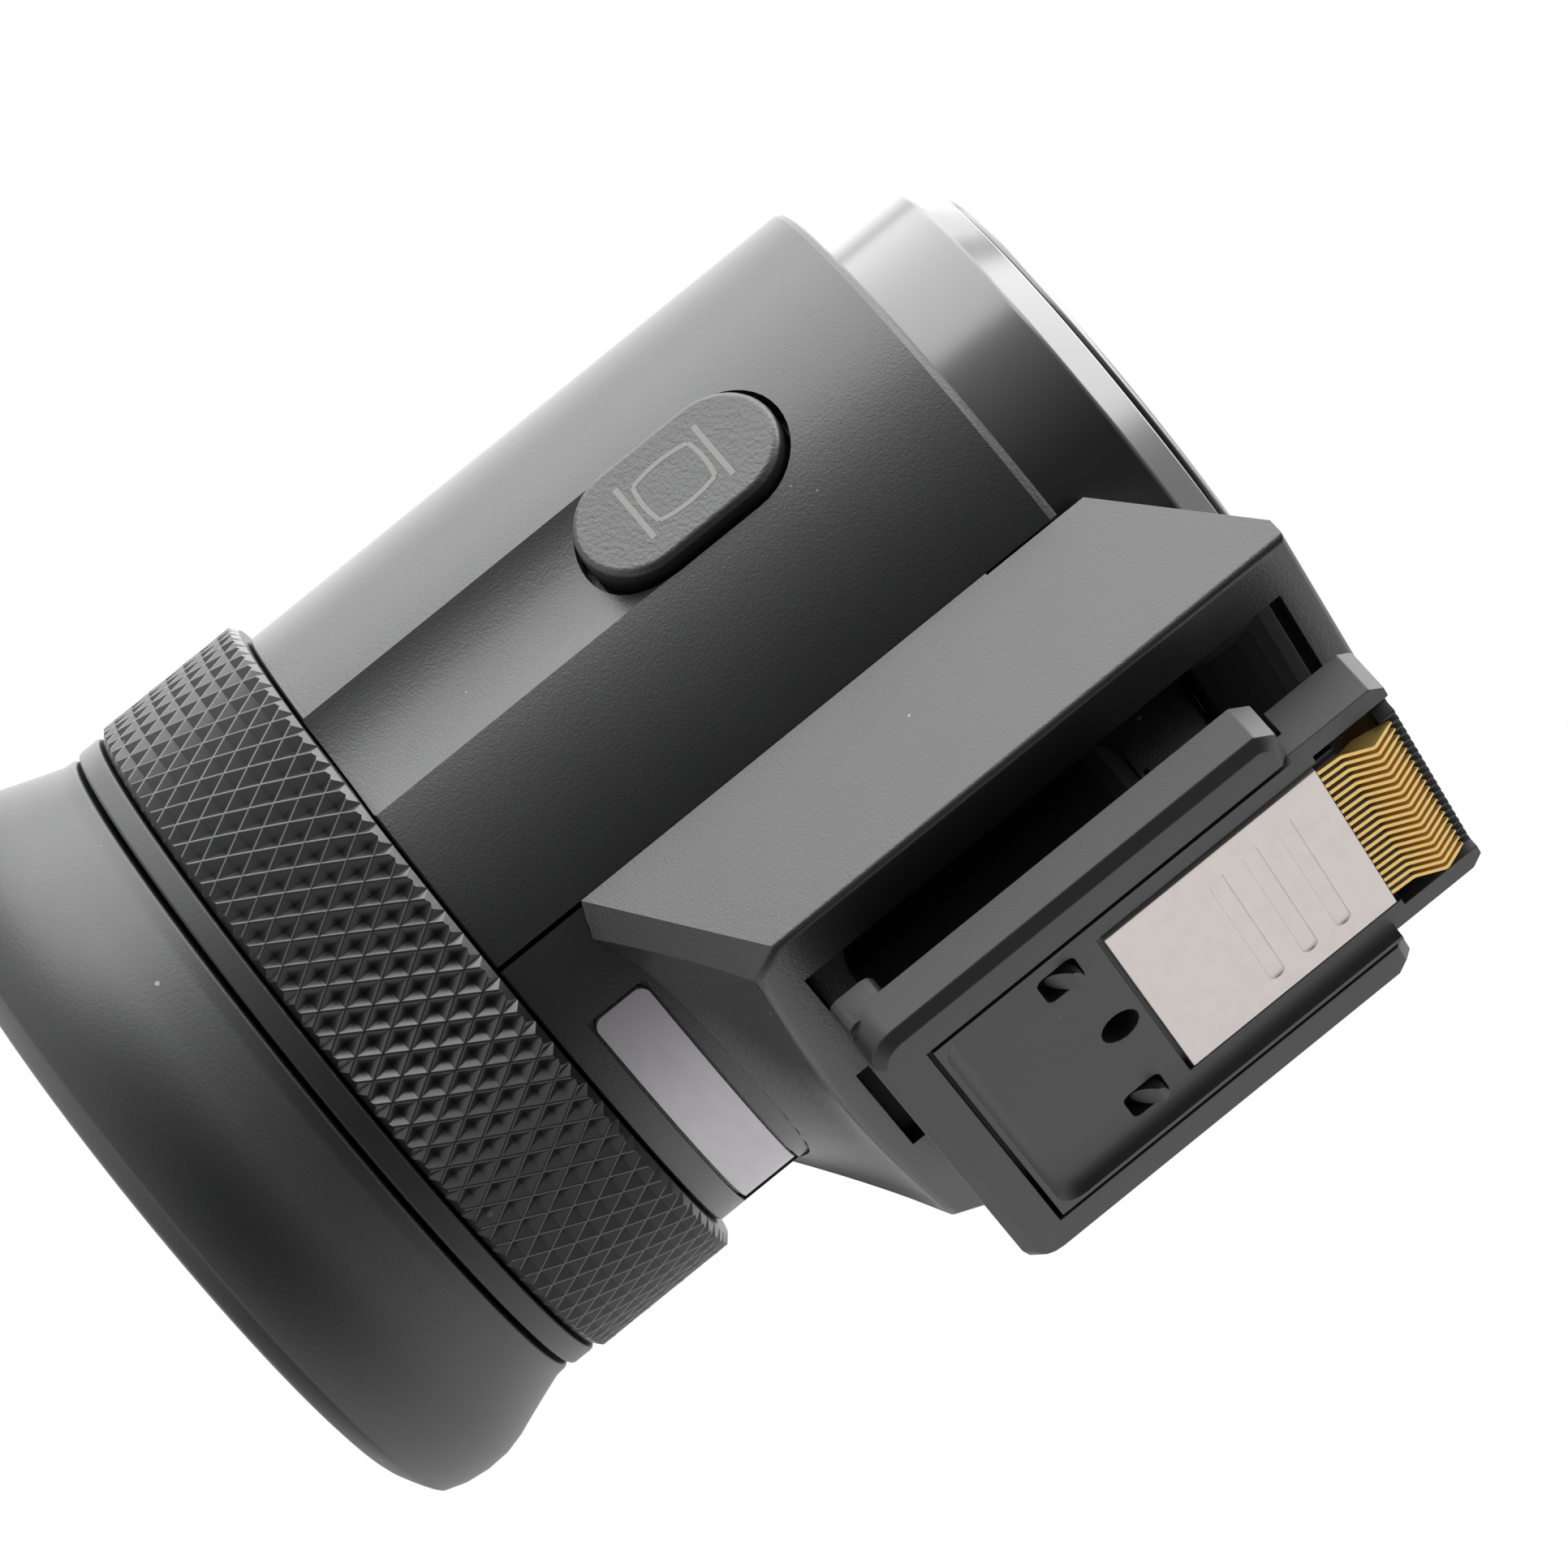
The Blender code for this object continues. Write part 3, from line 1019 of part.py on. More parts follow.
def build_eyepiece(materials, tilt_axis, cell_axis):
    tube_rear = BARREL_REAR - TUBE_REAR
    tube_front = BARREL_REAR + TUBE_FRONT
    flange_rear = tube_front - TUBE_FLANGE_LENGTH
    profile = [(TUBE_BORE, tube_rear), (TUBE_RADIUS, tube_rear), (TUBE_RADIUS, flange_rear),
               (TUBE_FLANGE_RADIUS, flange_rear), (TUBE_FLANGE_RADIUS, tube_front), (TUBE_BORE, tube_front)]
    tube = place_piece("eyepiece_tube", turned(profile, INNER_STEPS), materials["inner"], tilt_axis)
    slot_half = PIN_RADIUS + RUN_GAP
    slot_reach = CELL_TRAVEL_PER_RADIAN * RING_TURN + PIN_RADIUS + SMALL_SEAM
    slot_low = (-slot_half, RING_MIDDLE - slot_reach, AXIS_HEIGHT + TUBE_BORE - CUT_OVERRUN)
    slot_high = (slot_half, RING_MIDDLE + slot_reach, AXIS_HEIGHT + TUBE_RADIUS + CUT_OVERRUN)
    cut(tube, "cam_slot", box(slot_low, slot_high))
    window_rear = tube_rear + WINDOW_SETBACK
    window_radius = TUBE_BORE - SMALL_SEAM
    profile = [(0, window_rear), (window_radius - SMALL_EDGE, window_rear),
               (window_radius, window_rear + SMALL_EDGE), (window_radius, window_rear + WINDOW_THICKNESS),
               (0, window_rear + WINDOW_THICKNESS)]
    window = turned(profile, INNER_STEPS, closed=False)
    place_piece("eyepiece_window", window, materials["glass"], tilt_axis)

    cell_front = BARREL_REAR + CELL_FRONT
    cell_rear = cell_front - CELL_LENGTH
    cell_radius = TUBE_BORE - RUN_GAP
    cell_bore = cell_radius - CELL_WALL
    ledge_bore = cell_bore - CELL_LEDGE
    ledge_rear = cell_front - CELL_LEDGE_LENGTH
    profile = [(cell_bore, cell_rear), (cell_radius, cell_rear), (cell_radius, cell_front),
               (ledge_bore, cell_front), (ledge_bore, ledge_rear), (cell_bore, ledge_rear)]
    cell = place_piece("lens_cell", turned(profile, LENS_STEPS), materials["inner"], cell_axis)
    pin_root = cell_radius - CAM_PIN_SEAT
    cut(cell, "pin_seat", rod((0, RING_MIDDLE, AXIS_HEIGHT + pin_root - RUN_GAP),
                              (0, RING_MIDDLE, AXIS_HEIGHT + TUBE_RADIUS), PIN_RADIUS + RUN_GAP / 2))
    place_piece("cam_pin", rod((0, RING_MIDDLE, AXIS_HEIGHT + pin_root),
                               (0, RING_MIDDLE, AXIS_HEIGHT + TUBE_RADIUS + CAM_PIN_REACH), PIN_RADIUS),
                materials["steel"], cell_axis)

    front = cell_front - CELL_LEDGE_LENGTH - RUN_GAP
    field_rear = place_lens("field_lens", front - LENS_EDGE, materials, cell_axis)
    spacer_front = field_rear - RUN_GAP
    spacer_rear = spacer_front - LENS_SPACE
    place_ring("lens_spacer", spacer_rear, spacer_front, materials, cell_axis)
    eye_rear = place_lens("eye_lens", spacer_rear - RUN_GAP - LENS_EDGE, materials, cell_axis)
    retainer_front = eye_rear - RUN_GAP
    place_ring("lens_retainer", retainer_front - RETAINER_LENGTH, retainer_front, materials, cell_axis)


def place_lens(name, rear, materials, cell_axis):
    # A lens with both faces domed; its faces meet a straight edge
    bulge_steps = 4
    sphere = (LENS_RADIUS ** 2 + LENS_BULGE ** 2) / (2 * LENS_BULGE)
    radii = [LENS_RADIUS * step / bulge_steps for step in range(bulge_steps + 1)]
    domes = [sqrt(sphere ** 2 - radius ** 2) - sphere + LENS_BULGE for radius in radii]
    back = [(radius, rear - dome) for radius, dome in zip(radii, domes)]
    face = [(radius, rear + LENS_EDGE + dome) for radius, dome in zip(radii, domes)]
    place_piece(name, turned(back + face[::-1], LENS_STEPS, closed=False), materials["glass"], cell_axis)
    return rear


def place_ring(name, rear, front, materials, cell_axis):
    profile = [(LENS_RADIUS - RETAINER_WALL, rear), (LENS_RADIUS, rear), (LENS_RADIUS, front),
               (LENS_RADIUS - RETAINER_WALL, front)]
    place_piece(name, turned(profile, LENS_STEPS), materials["inner"], cell_axis)


def build_eyecup(materials, tilt_axis):
    bore = TUBE_RADIUS + CUP_TUBE_GAP
    edge = BARREL_EDGE
    profile = [(bore, CUP_RING_REAR), (CUP_RING_RADIUS - edge, CUP_RING_REAR),
               (CUP_RING_RADIUS, CUP_RING_REAR + edge), (CUP_RING_RADIUS, CUP_RING_FRONT - edge),
               (CUP_RING_RADIUS - edge, CUP_RING_FRONT), (bore, CUP_RING_FRONT)]
    place_piece("eyecup_ring", turned(profile), materials["ring"], tilt_axis)

    tube_rear = BARREL_REAR - TUBE_REAR
    step = tube_rear - CUP_TUBE_GAP
    floor = step - CUP_FLOOR
    widest = CUP_FRONT - CUP_FLARE_LENGTH
    rear_corner = (CUP_RADIUS - CUP_ROUND, CUP_REAR + CUP_ROUND)
    mouth_corner = (CUP_MOUTH_RADIUS + CUP_MOUTH_ROUND, CUP_REAR + CUP_MOUTH_ROUND)
    outline = [(bore, CUP_FRONT), (CUP_NECK_RADIUS, CUP_FRONT), (CUP_RADIUS, widest)]
    outline += arc_points(rear_corner, CUP_ROUND, 0, -pi / 2, CUP_ARC_STEPS)
    outline += arc_points(mouth_corner, CUP_MOUTH_ROUND, -pi / 2, -pi, CUP_ARC_STEPS // 2)
    outline += [(CUP_THROAT_RADIUS, floor), (CUP_THROAT_RADIUS, step), (bore, step)]
    place_piece("eyecup", turned(outline), materials["rubber"], tilt_axis)


def build_button(materials, tilt_axis, button_axis):
    length = BUTTON_LENGTH + 2 * BUTTON_FLANGE
    width = BUTTON_WIDTH + 2 * BUTTON_FLANGE
    flange = [(BUTTON_BOTTOM, y, z) for y, z in stadium(length, width, BUTTON_STEPS)]
    bm = prism(flange, (BUTTON_FLANGE_THICKNESS, 0, 0))
    button = place_piece("display_button", at_button(bm), materials["button"], button_axis)
    root = BUTTON_BOTTOM + BUTTON_FLANGE_THICKNESS / 2
    body = [(root, y, z) for y, z in stadium(BUTTON_LENGTH, BUTTON_WIDTH, BUTTON_STEPS)]
    bm = prism(body, (BUTTON_TOP - root, 0, 0))
    bevel_edges(bm, edges_where(bm, lambda place: place.x > BUTTON_TOP - WELD), BUTTON_EDGE, 3)
    join(button, "button_body", at_button(bm))

    dome_top = BUTTON_BOTTOM - BUTTON_TRAVEL - RUN_GAP
    switch_top = dome_top - DOME_HEIGHT
    switch_bottom = switch_top - SWITCH_THICKNESS
    switch = place_piece("tact_switch", button_block(switch_bottom, switch_top, SWITCH_SIZE, SWITCH_SIZE),
                         materials["switch"], tilt_axis)
    dome = at_button(rod((switch_top - SWITCH_THICKNESS / 2, 0, 0), (dome_top, 0, 0), DOME_RADIUS))
    join(switch, "switch_dome", dome)
    board_top = switch_bottom - SMALL_SEAM
    length, width = SWITCH_BOARD_SIZE
    place_piece("switch_board", button_block(board_top - SWITCH_BOARD_THICKNESS, board_top, length, width),
                materials["board"], tilt_axis)
    return board_top - SWITCH_BOARD_THICKNESS - SMALL_SEAM


def build_display(materials, tilt_axis, shelf_top):
    ring_rear = BARREL_REAR + TUBE_FRONT + HOLDER_GAP
    ring_front = ring_rear + HOLDER_RING_LENGTH
    holder_front = ring_rear + HOLDER_LENGTH
    width, height = HOLDER_SIZE
    bm = axis_cylinder(HOLDER_RING_RADIUS, ring_rear, ring_front, INNER_STEPS)
    holder = place_piece("display_holder", bm, materials["inner"], tilt_axis)
    low = (-width / 2, ring_front - HOLDER_RING_LENGTH / 2, AXIS_HEIGHT - height / 2)
    high = (width / 2, holder_front, AXIS_HEIGHT + height / 2)
    join(holder, "holder_box", box(low, high))
    shelf_half = SHELF_WIDTH / 2
    shelf_end = shelf_top * cos(SCOOP_ANGLE) - shelf_half * abs(sin(SCOOP_ANGLE))
    low = (width / 2 - HOLDER_WALL / 2, BUTTON_Y - BUTTON_LENGTH / 2, AXIS_HEIGHT - shelf_half)
    high = (shelf_end, holder_front - SMALL_EDGE, AXIS_HEIGHT + shelf_half)
    join(holder, "switch_shelf", box(low, high))
    inner_width, inner_height = width / 2 - HOLDER_WALL, height / 2 - HOLDER_WALL
    low = (-inner_width, ring_rear - CUT_OVERRUN, AXIS_HEIGHT - inner_height)
    high = (inner_width, holder_front + CUT_OVERRUN, AXIS_HEIGHT + inner_height)
    cut(holder, "light_path", box(low, high))

    panel_rear = holder_front + SMALL_SEAM
    panel_front = panel_rear + PANEL_THICKNESS
    width, height = PANEL_SIZE
    half_width, half_height = width / 2, height / 2
    place_piece("display_panel", box((-half_width, panel_rear, AXIS_HEIGHT - half_height),
                                     (half_width, panel_front, AXIS_HEIGHT + half_height)),
                materials["panel"], tilt_axis)
    light_rear = panel_front + SMALL_SEAM
    light_front = light_rear + BACKLIGHT_THICKNESS
    bm = box((-half_width, light_rear, AXIS_HEIGHT - half_height),
             (half_width, light_front, AXIS_HEIGHT + half_height))
    bevel_edges(bm, edges_along(bm, (0, 1, 0)), SMALL_EDGE)
    place_piece("backlight_unit", bm, materials["backlight"], tilt_axis)

    board_front = BARREL_FRONT - CAP_INSERT - SEAM
    board_rear = board_front - BOARD_THICKNESS
    place_piece("main_board", axis_cylinder(BOARD_RADIUS, board_rear, board_front, LENS_STEPS),
                materials["board"], tilt_axis)
    chip_front = board_rear - SMALL_SEAM
    bm = box((-CHIP_SIZE / 2, light_front + SMALL_SEAM, AXIS_HEIGHT - CHIP_SIZE / 2),
             (CHIP_SIZE / 2, chip_front, AXIS_HEIGHT + CHIP_SIZE / 2))
    bevel_edges(bm, edges_where(bm, lambda place: place.y < light_front + SEAM), CHIP_EDGE)
    place_piece("video_chip", bm, materials["chip"], tilt_axis)

    flex_top = AXIS_HEIGHT - half_height - SMALL_SEAM
    flex_front = board_rear - SMALL_SEAM
    outline = [(panel_rear, flex_top), (panel_rear, flex_top - FLEX_THICKNESS),
               (flex_front - FLEX_THICKNESS, flex_top - FLEX_THICKNESS),
               (flex_front - FLEX_THICKNESS, flex_top - FLEX_TAIL), (flex_front, flex_top - FLEX_TAIL),
               (flex_front, flex_top)]
    place_piece("display_flex", side_prism(outline, DISPLAY_FLEX_WIDTH / 2), materials["flex"], tilt_axis)


def make_materials():
    return {
        "body": make_material("body_black", (0.020, 0.021, 0.023), 0.50),
        "gloss": make_material("gloss_black", (0.010, 0.010, 0.011), 0.15),
        "ring": make_material("ring_black", (0.016, 0.017, 0.018), 0.42),
        "rubber": make_material("eyecup_rubber", (0.018, 0.019, 0.021), 0.65),
        "foot": make_material("foot_black", (0.060, 0.062, 0.066), 0.45),
        "tray": make_material("tray_black", (0.050, 0.051, 0.054), 0.50),
        "button": make_material("button_black", (0.018, 0.019, 0.020), 0.55),
        "plate": make_material("contact_plate_steel", (0.610, 0.560, 0.540), 0.35, 1.0),
        "contacts": make_material("contact_gold", (0.830, 0.520, 0.110), 0.25, 1.0),
        "label": make_material("label_silver", (0.400, 0.370, 0.390), 0.40, 0.6),
        "steel": make_material("plain_steel", (0.560, 0.570, 0.580), 0.30, 1.0),
        "bracket": make_material("bracket_black", (0.013, 0.013, 0.014), 0.45),
        "washer": make_material("washer_nylon", (0.700, 0.690, 0.650), 0.60),
        "inner": make_material("inner_black", (0.012, 0.012, 0.013), 0.70),
        "glass": make_material("coated_glass", (0.450, 0.520, 0.560), 0.05),
        "panel": make_material("display_glass", (0.020, 0.024, 0.030), 0.10),
        "backlight": make_material("backlight_white", (0.750, 0.750, 0.740), 0.50),
        "board": make_material("board_green", (0.020, 0.110, 0.050), 0.45),
        "chip": make_material("chip_black", (0.015, 0.015, 0.016), 0.55),
        "switch": make_material("switch_steel", (0.500, 0.500, 0.490), 0.35, 0.9),
        "flex": make_material("flex_amber", (0.300, 0.120, 0.030), 0.40),
    }


def build_all():
    clear_scene()
    materials = make_materials()
    tilt_axis = make_axis("tilt_axis", Vector((0, HINGE_Y, HINGE_Z)))
    ring_axis = make_axis("ring_axis", Vector((0, RING_MIDDLE, AXIS_HEIGHT)))
    cell_axis = make_axis("cell_axis", Vector((0, RING_MIDDLE, AXIS_HEIGHT)))
    button_place = Vector((BUTTON_TOP * cos(SCOOP_ANGLE), BUTTON_Y,
                           AXIS_HEIGHT + BUTTON_TOP * sin(SCOOP_ANGLE)))
    button_axis = make_axis("button_axis", button_place)
    for axis in (ring_axis, cell_axis, button_axis):
        axis.parent = tilt_axis
        axis.matrix_parent_inverse = Matrix.Translation(-tilt_axis.location)
    build_foot(materials)
    build_screws(materials)
    build_tray(materials)
    build_contacts(materials)
    build_base(materials)
    build_hinge(materials, tilt_axis)
    build_barrel(materials, tilt_axis)
    build_front(materials, tilt_axis)
    build_ring(materials, ring_axis)
    build_eyepiece(materials, tilt_axis, cell_axis)
    build_eyecup(materials, tilt_axis)
    shelf_top = build_button(materials, tilt_axis, button_axis)
    build_display(materials, tilt_axis, shelf_top)


build_all()
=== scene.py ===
from math import cos, pi, radians, sin, sqrt

import bmesh
import bpy
from mathutils import Matrix, Vector


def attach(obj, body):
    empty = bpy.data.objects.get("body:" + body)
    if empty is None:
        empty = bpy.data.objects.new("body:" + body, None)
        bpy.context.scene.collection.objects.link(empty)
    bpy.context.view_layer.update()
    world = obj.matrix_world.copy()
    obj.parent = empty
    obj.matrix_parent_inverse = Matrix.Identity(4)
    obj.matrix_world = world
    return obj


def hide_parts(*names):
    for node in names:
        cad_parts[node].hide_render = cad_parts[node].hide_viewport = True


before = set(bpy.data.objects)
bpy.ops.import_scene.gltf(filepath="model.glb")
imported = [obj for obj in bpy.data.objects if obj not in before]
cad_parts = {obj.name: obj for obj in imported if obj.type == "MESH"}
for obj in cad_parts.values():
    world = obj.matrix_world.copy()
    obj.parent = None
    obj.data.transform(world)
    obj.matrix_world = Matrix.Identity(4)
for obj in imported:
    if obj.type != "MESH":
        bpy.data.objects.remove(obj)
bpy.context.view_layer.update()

# Shapes are made in millimetres and scaled once, when a piece is finished.
millimetre = 0.001
axisHeight = 21.2  # optical axis above the foot's sole
barrelRear = -17.15
barrelFront = 8.35
scoopTurn = radians(-1)  # how far above the side the button and its scoop sit


# Shape tools

def lathe(outline, steps, closed=True):
    # Spins an outline of (radius, along, rounding) about the optical axis
    bm = bmesh.new()
    points = [bm.verts.new((corner[0], corner[1], 0)) for corner in outline]
    pairs = list(zip(points, points[1:]))
    if closed:
        pairs.append((points[-1], points[0]))
    for pair in pairs:
        bm.edges.new(pair)
    for point, corner in zip(points, outline):
        if len(corner) > 2:
            bmesh.ops.bevel(bm, geom=[point], offset=corner[2], offset_type="OFFSET", segments=4,
                            profile=0.5, affect="VERTICES", material=-1)
    bmesh.ops.spin(bm, geom=bm.verts[:] + bm.edges[:], cent=(0, 0, 0), axis=(0, 1, 0),
                   angle=2 * pi, steps=steps, use_merge=True)
    tidyShape(bm)
    bmesh.ops.translate(bm, vec=(0, 0, axisHeight), verts=bm.verts)
    return bm


def latheSector(outline, startTurn, arc, steps):
    # The same for part of a turn, as one closed solid; turns run from +X up to +Z
    bm = bmesh.new()
    points = [bm.verts.new((corner[0], corner[1], 0)) for corner in outline]
    face = bm.faces.new(points)
    bmesh.ops.rotate(bm, cent=(0, 0, 0), matrix=Matrix.Rotation(-startTurn, 3, "Y"), verts=points)
    bmesh.ops.spin(bm, geom=[*points, *face.edges, face], cent=(0, 0, 0), axis=(0, -1, 0),
                   angle=arc, steps=steps)
    tidyShape(bm)
    bmesh.ops.translate(bm, vec=(0, 0, axisHeight), verts=bm.verts)
    return bm


def tidyShape(bm):
    bmesh.ops.remove_doubles(bm, verts=bm.verts, dist=0.001)
    bmesh.ops.recalc_face_normals(bm, faces=bm.faces)


def pulled(outline, reach):
    # Pulls a flat outline of 3-D points along a vector
    bm = bmesh.new()
    face = bm.faces.new([bm.verts.new(point) for point in outline])
    top = bmesh.ops.extrude_face_region(bm, geom=[face])["geom"]
    moved = [item for item in top if isinstance(item, bmesh.types.BMVert)]
    bmesh.ops.translate(bm, vec=reach, verts=moved)
    bmesh.ops.recalc_face_normals(bm, faces=bm.faces)
    return bm


def block(low, high):
    bm = bmesh.new()
    bmesh.ops.create_cube(bm, size=1.0)
    size = Vector(high) - Vector(low)
    bmesh.ops.scale(bm, vec=size, verts=bm.verts)
    bmesh.ops.translate(bm, vec=Vector(low) + size / 2, verts=bm.verts)
    return bm


def rod(radius, length, segments, middle, axis="Z"):
    # A plain cylinder along Z or Y
    bm = bmesh.new()
    bmesh.ops.create_cone(bm, cap_ends=True, segments=segments, radius1=radius, radius2=radius,
                          depth=length)
    if axis == "Y":
        bmesh.ops.rotate(bm, cent=(0, 0, 0), matrix=Matrix.Rotation(pi / 2, 3, "X"), verts=bm.verts)
    bmesh.ops.translate(bm, vec=middle, verts=bm.verts)
    return bm


def sliced(bm, place, facing, clear=True):
    # Cuts a shape with a plane, drops what lies beyond it and gives back the cut's edges
    cut = bmesh.ops.bisect_plane(bm, geom=bm.verts[:] + bm.edges[:] + bm.faces[:], dist=0.0001,
                                 plane_co=place, plane_no=facing, clear_outer=clear)
    return [item for item in cut["geom_cut"] if isinstance(item, bmesh.types.BMEdge)]


def pickEdges(bm, test):
    return [edge for edge in bm.edges if test(edge)]


def allVerts(edge, test):
    return all(test(vert.co) for vert in edge.verts)


def edgesWhere(bm, test):
    return pickEdges(bm, lambda edge: allVerts(edge, test))


def isUpright(edge):
    return abs(edge.verts[0].co.z - edge.verts[1].co.z) > 1


def roundEdges(bm, edges, width, segments=3):
    bmesh.ops.bevel(bm, geom=edges, offset=width, offset_type="OFFSET", segments=segments,
                    profile=0.5, affect="EDGES", clamp_overlap=True, material=-1)
    return bm


def sharpEdges(bm, angle, test=lambda co: True):
    # Edges folded by more than an angle, whose ends both pass a test of their place
    return pickEdges(bm, lambda edge: len(edge.link_faces) == 2 and edge.calc_face_angle(0) > angle
                     and allVerts(edge, test))


def joined(shapes):
    # Puts several loose shapes into one bmesh
    whole = bmesh.new()
    for shape in shapes:
        mesh = bpy.data.meshes.new("part")
        shape.to_mesh(mesh)
        shape.free()
        whole.from_mesh(mesh)
        bpy.data.meshes.remove(mesh)
    return whole


def looseObject(bm, name):
    mesh = bpy.data.meshes.new(name)
    bm.to_mesh(mesh)
    bm.free()
    thing = bpy.data.objects.new(name, mesh)
    bpy.context.collection.objects.link(thing)
    return thing


def combined(bm, tool, operation):
    # One Boolean step between two shapes, given back as a bmesh
    body = looseObject(bm, "body")
    cutter = looseObject(tool, "cutter")
    modifier = body.modifiers.new("cut", "BOOLEAN")
    modifier.operation = operation
    modifier.solver = "EXACT"
    modifier.object = cutter
    depsgraph = bpy.context.evaluated_depsgraph_get()
    result = bmesh.new()
    result.from_object(body, depsgraph)
    for thing in (body, cutter):
        mesh = thing.data
        bpy.data.objects.remove(thing)
        bpy.data.meshes.remove(mesh)
    bmesh.ops.remove_doubles(result, verts=result.verts, dist=0.0015)
    bmesh.ops.dissolve_degenerate(result, edges=result.edges, dist=0.001)
    return result


def carved(bm, tool):
    return combined(bm, tool, "DIFFERENCE")


def welded(bm, tool):
    return combined(bm, tool, "UNION")


def evenNormals(mesh, limit):
    # Weighs each corner's normal by the faces' areas, so flat faces stay flat beside rounded edges
    around = [[] for vert in mesh.vertices]
    for face in mesh.polygons:
        for number in face.vertices:
            around[number].append((face.normal.copy(), face.area))
    normals = []
    for face in mesh.polygons:
        for number in face.vertices:
            total = Vector()
            for normal, area in around[number]:
                if normal.dot(face.normal) > limit:
                    total += normal * area
            normals.append(total.normalized())
    mesh.normals_split_custom_set(normals)


def finishPiece(name, bm, finish, body, nodes=(), smoothAngle=radians(40)):
    bmesh.ops.scale(bm, vec=(millimetre, millimetre, millimetre), verts=bm.verts)
    mesh = bpy.data.meshes.new(name)
    bm.to_mesh(mesh)
    bm.free()
    mesh.shade_smooth()
    mesh.set_sharp_from_angle(angle=smoothAngle)
    evenNormals(mesh, cos(smoothAngle))
    mesh.materials.append(materials[finish])
    piece = bpy.data.objects.new(name, mesh)
    bpy.context.collection.objects.link(piece)
    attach(piece, body)
    if nodes:
        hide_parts(*nodes)


def atButton(bm):
    # Turns a shape made about +X to the button's direction
    bmesh.ops.rotate(bm, cent=(0, 0, 0), matrix=Matrix.Rotation(-scoopTurn, 3, "Y"), verts=bm.verts)
    bmesh.ops.translate(bm, vec=(0, 0, axisHeight), verts=bm.verts)
    return bm


def slotOutline(level, middle, length, width, steps):
    # A slot with round ends, at one level along X, long along Y
    reach = (length - width) / 2
    points = []
    for side, start in ((1, -pi / 2), (-1, pi / 2)):
        for step in range(steps + 1):
            turn = start + pi * step / steps
            along = middle + side * reach + width / 2 * cos(turn)
            points.append((level, along, width / 2 * sin(turn)))
    return points


# Materials

def nodeMaker(tree):
    # Adds a node with its values, and links what is given as a socket
    def make(kind, inputs=None, **settings):
        node = tree.nodes.new(kind)
        for key, value in settings.items():
            setattr(node, key, value)
        for key, value in (inputs or {}).items():
            if isinstance(value, bpy.types.NodeSocket):
                tree.links.new(value, node.inputs[key])
            else:
                node.inputs[key].default_value = value
        return node
    return make


def mathValue(make, operation, first, second):
    return make("ShaderNodeMath", {0: first, 1: second}, operation=operation).outputs[0]


def ranged(make, value, toLow, toHigh, fromLow=0.0, fromHigh=1.0):
    return make("ShaderNodeMapRange", {"Value": value, "From Min": fromLow, "From Max": fromHigh,
                                       "To Min": toLow, "To Max": toHigh}).outputs["Result"]


def mixedColor(make, factor, first, second):
    return make("ShaderNodeMix", {"Factor": factor, 6: first, 7: second}, data_type="RGBA").outputs[2]


def newMaterial(name):
    material = bpy.data.materials.new(name)
    material.use_nodes = True
    tree = material.node_tree
    return material, tree, nodeMaker(tree), tree.nodes["Principled BSDF"]


def newGroup(name, inputs, outputs):
    tree = bpy.data.node_groups.new(name, "ShaderNodeTree")
    for label, kind, value in inputs:
        socket = tree.interface.new_socket(name=label, in_out="INPUT", socket_type=kind)
        if value is not None:
            socket.default_value = value
    for label, kind in outputs:
        tree.interface.new_socket(name=label, in_out="OUTPUT", socket_type=kind)
    make = nodeMaker(tree)
    return tree, make, make("NodeGroupInput"), make("NodeGroupOutput")


grainValues = {"detail": 2.0, "roughness": 0.6, "speckScale": 900.0, "clusterScale": 420.0,
               "clusterLimit": 0.62, "patchScale": 130.0, "patchDetail": 4.0, "patchRoughness": 0.55}


def buildGrainGroup():
    # Moulded grain: fine pits as a height, pale specks of dust as a mask, and cloudy patches
    values = grainValues
    tree, make, given, out = newGroup(
        "mouldedGrain",
        [("Coordinates", "NodeSocketVector", None), ("Grain per metre", "NodeSocketFloat", 4000.0),
         ("Specks", "NodeSocketFloat", 0.5)],
        [("Height", "NodeSocketFloat"), ("Speck mask", "NodeSocketFloat"),
         ("Patches", "NodeSocketFloat")])
    where = given.outputs["Coordinates"]
    grain = make("ShaderNodeTexNoise", {"Vector": where, "Scale": given.outputs["Grain per metre"],
                                        "Detail": values["detail"], "Roughness": values["roughness"]})
    specks = make("ShaderNodeTexVoronoi", {"Vector": where, "Scale": values["speckScale"],
                                           "Randomness": 1.0})
    clusters = make("ShaderNodeTexNoise", {"Vector": where, "Scale": values["clusterScale"],
                                           "Detail": 1.0})
    excess = mathValue(make, "SUBTRACT", clusters.outputs["Fac"], values["clusterLimit"])
    reach = mathValue(make, "MULTIPLY", excess, given.outputs["Specks"])
    mask = mathValue(make, "LESS_THAN", specks.outputs["Distance"], reach)
    patches = make("ShaderNodeTexNoise", {"Vector": where, "Scale": values["patchScale"],
                                          "Detail": values["patchDetail"],
                                          "Roughness": values["patchRoughness"]})
    for name, socket in (("Height", grain.outputs["Fac"]), ("Speck mask", mask),
                         ("Patches", patches.outputs["Fac"])):
        tree.links.new(socket, out.inputs[name])
    return tree


def linkSurface(tree, shader, look, color, gloss, height):
    # Takes up the colour; roughness follows one value and the bump another
    make = nodeMaker(tree)
    tree.links.new(color, shader.inputs["Base Color"])
    tree.links.new(ranged(make, gloss, *look["roughness"]), shader.inputs["Roughness"])
    bump = make("ShaderNodeBump", {"Height": height, "Strength": look["bump"], "Distance": look["depth"]})
    tree.links.new(bump.outputs["Normal"], shader.inputs["Normal"])


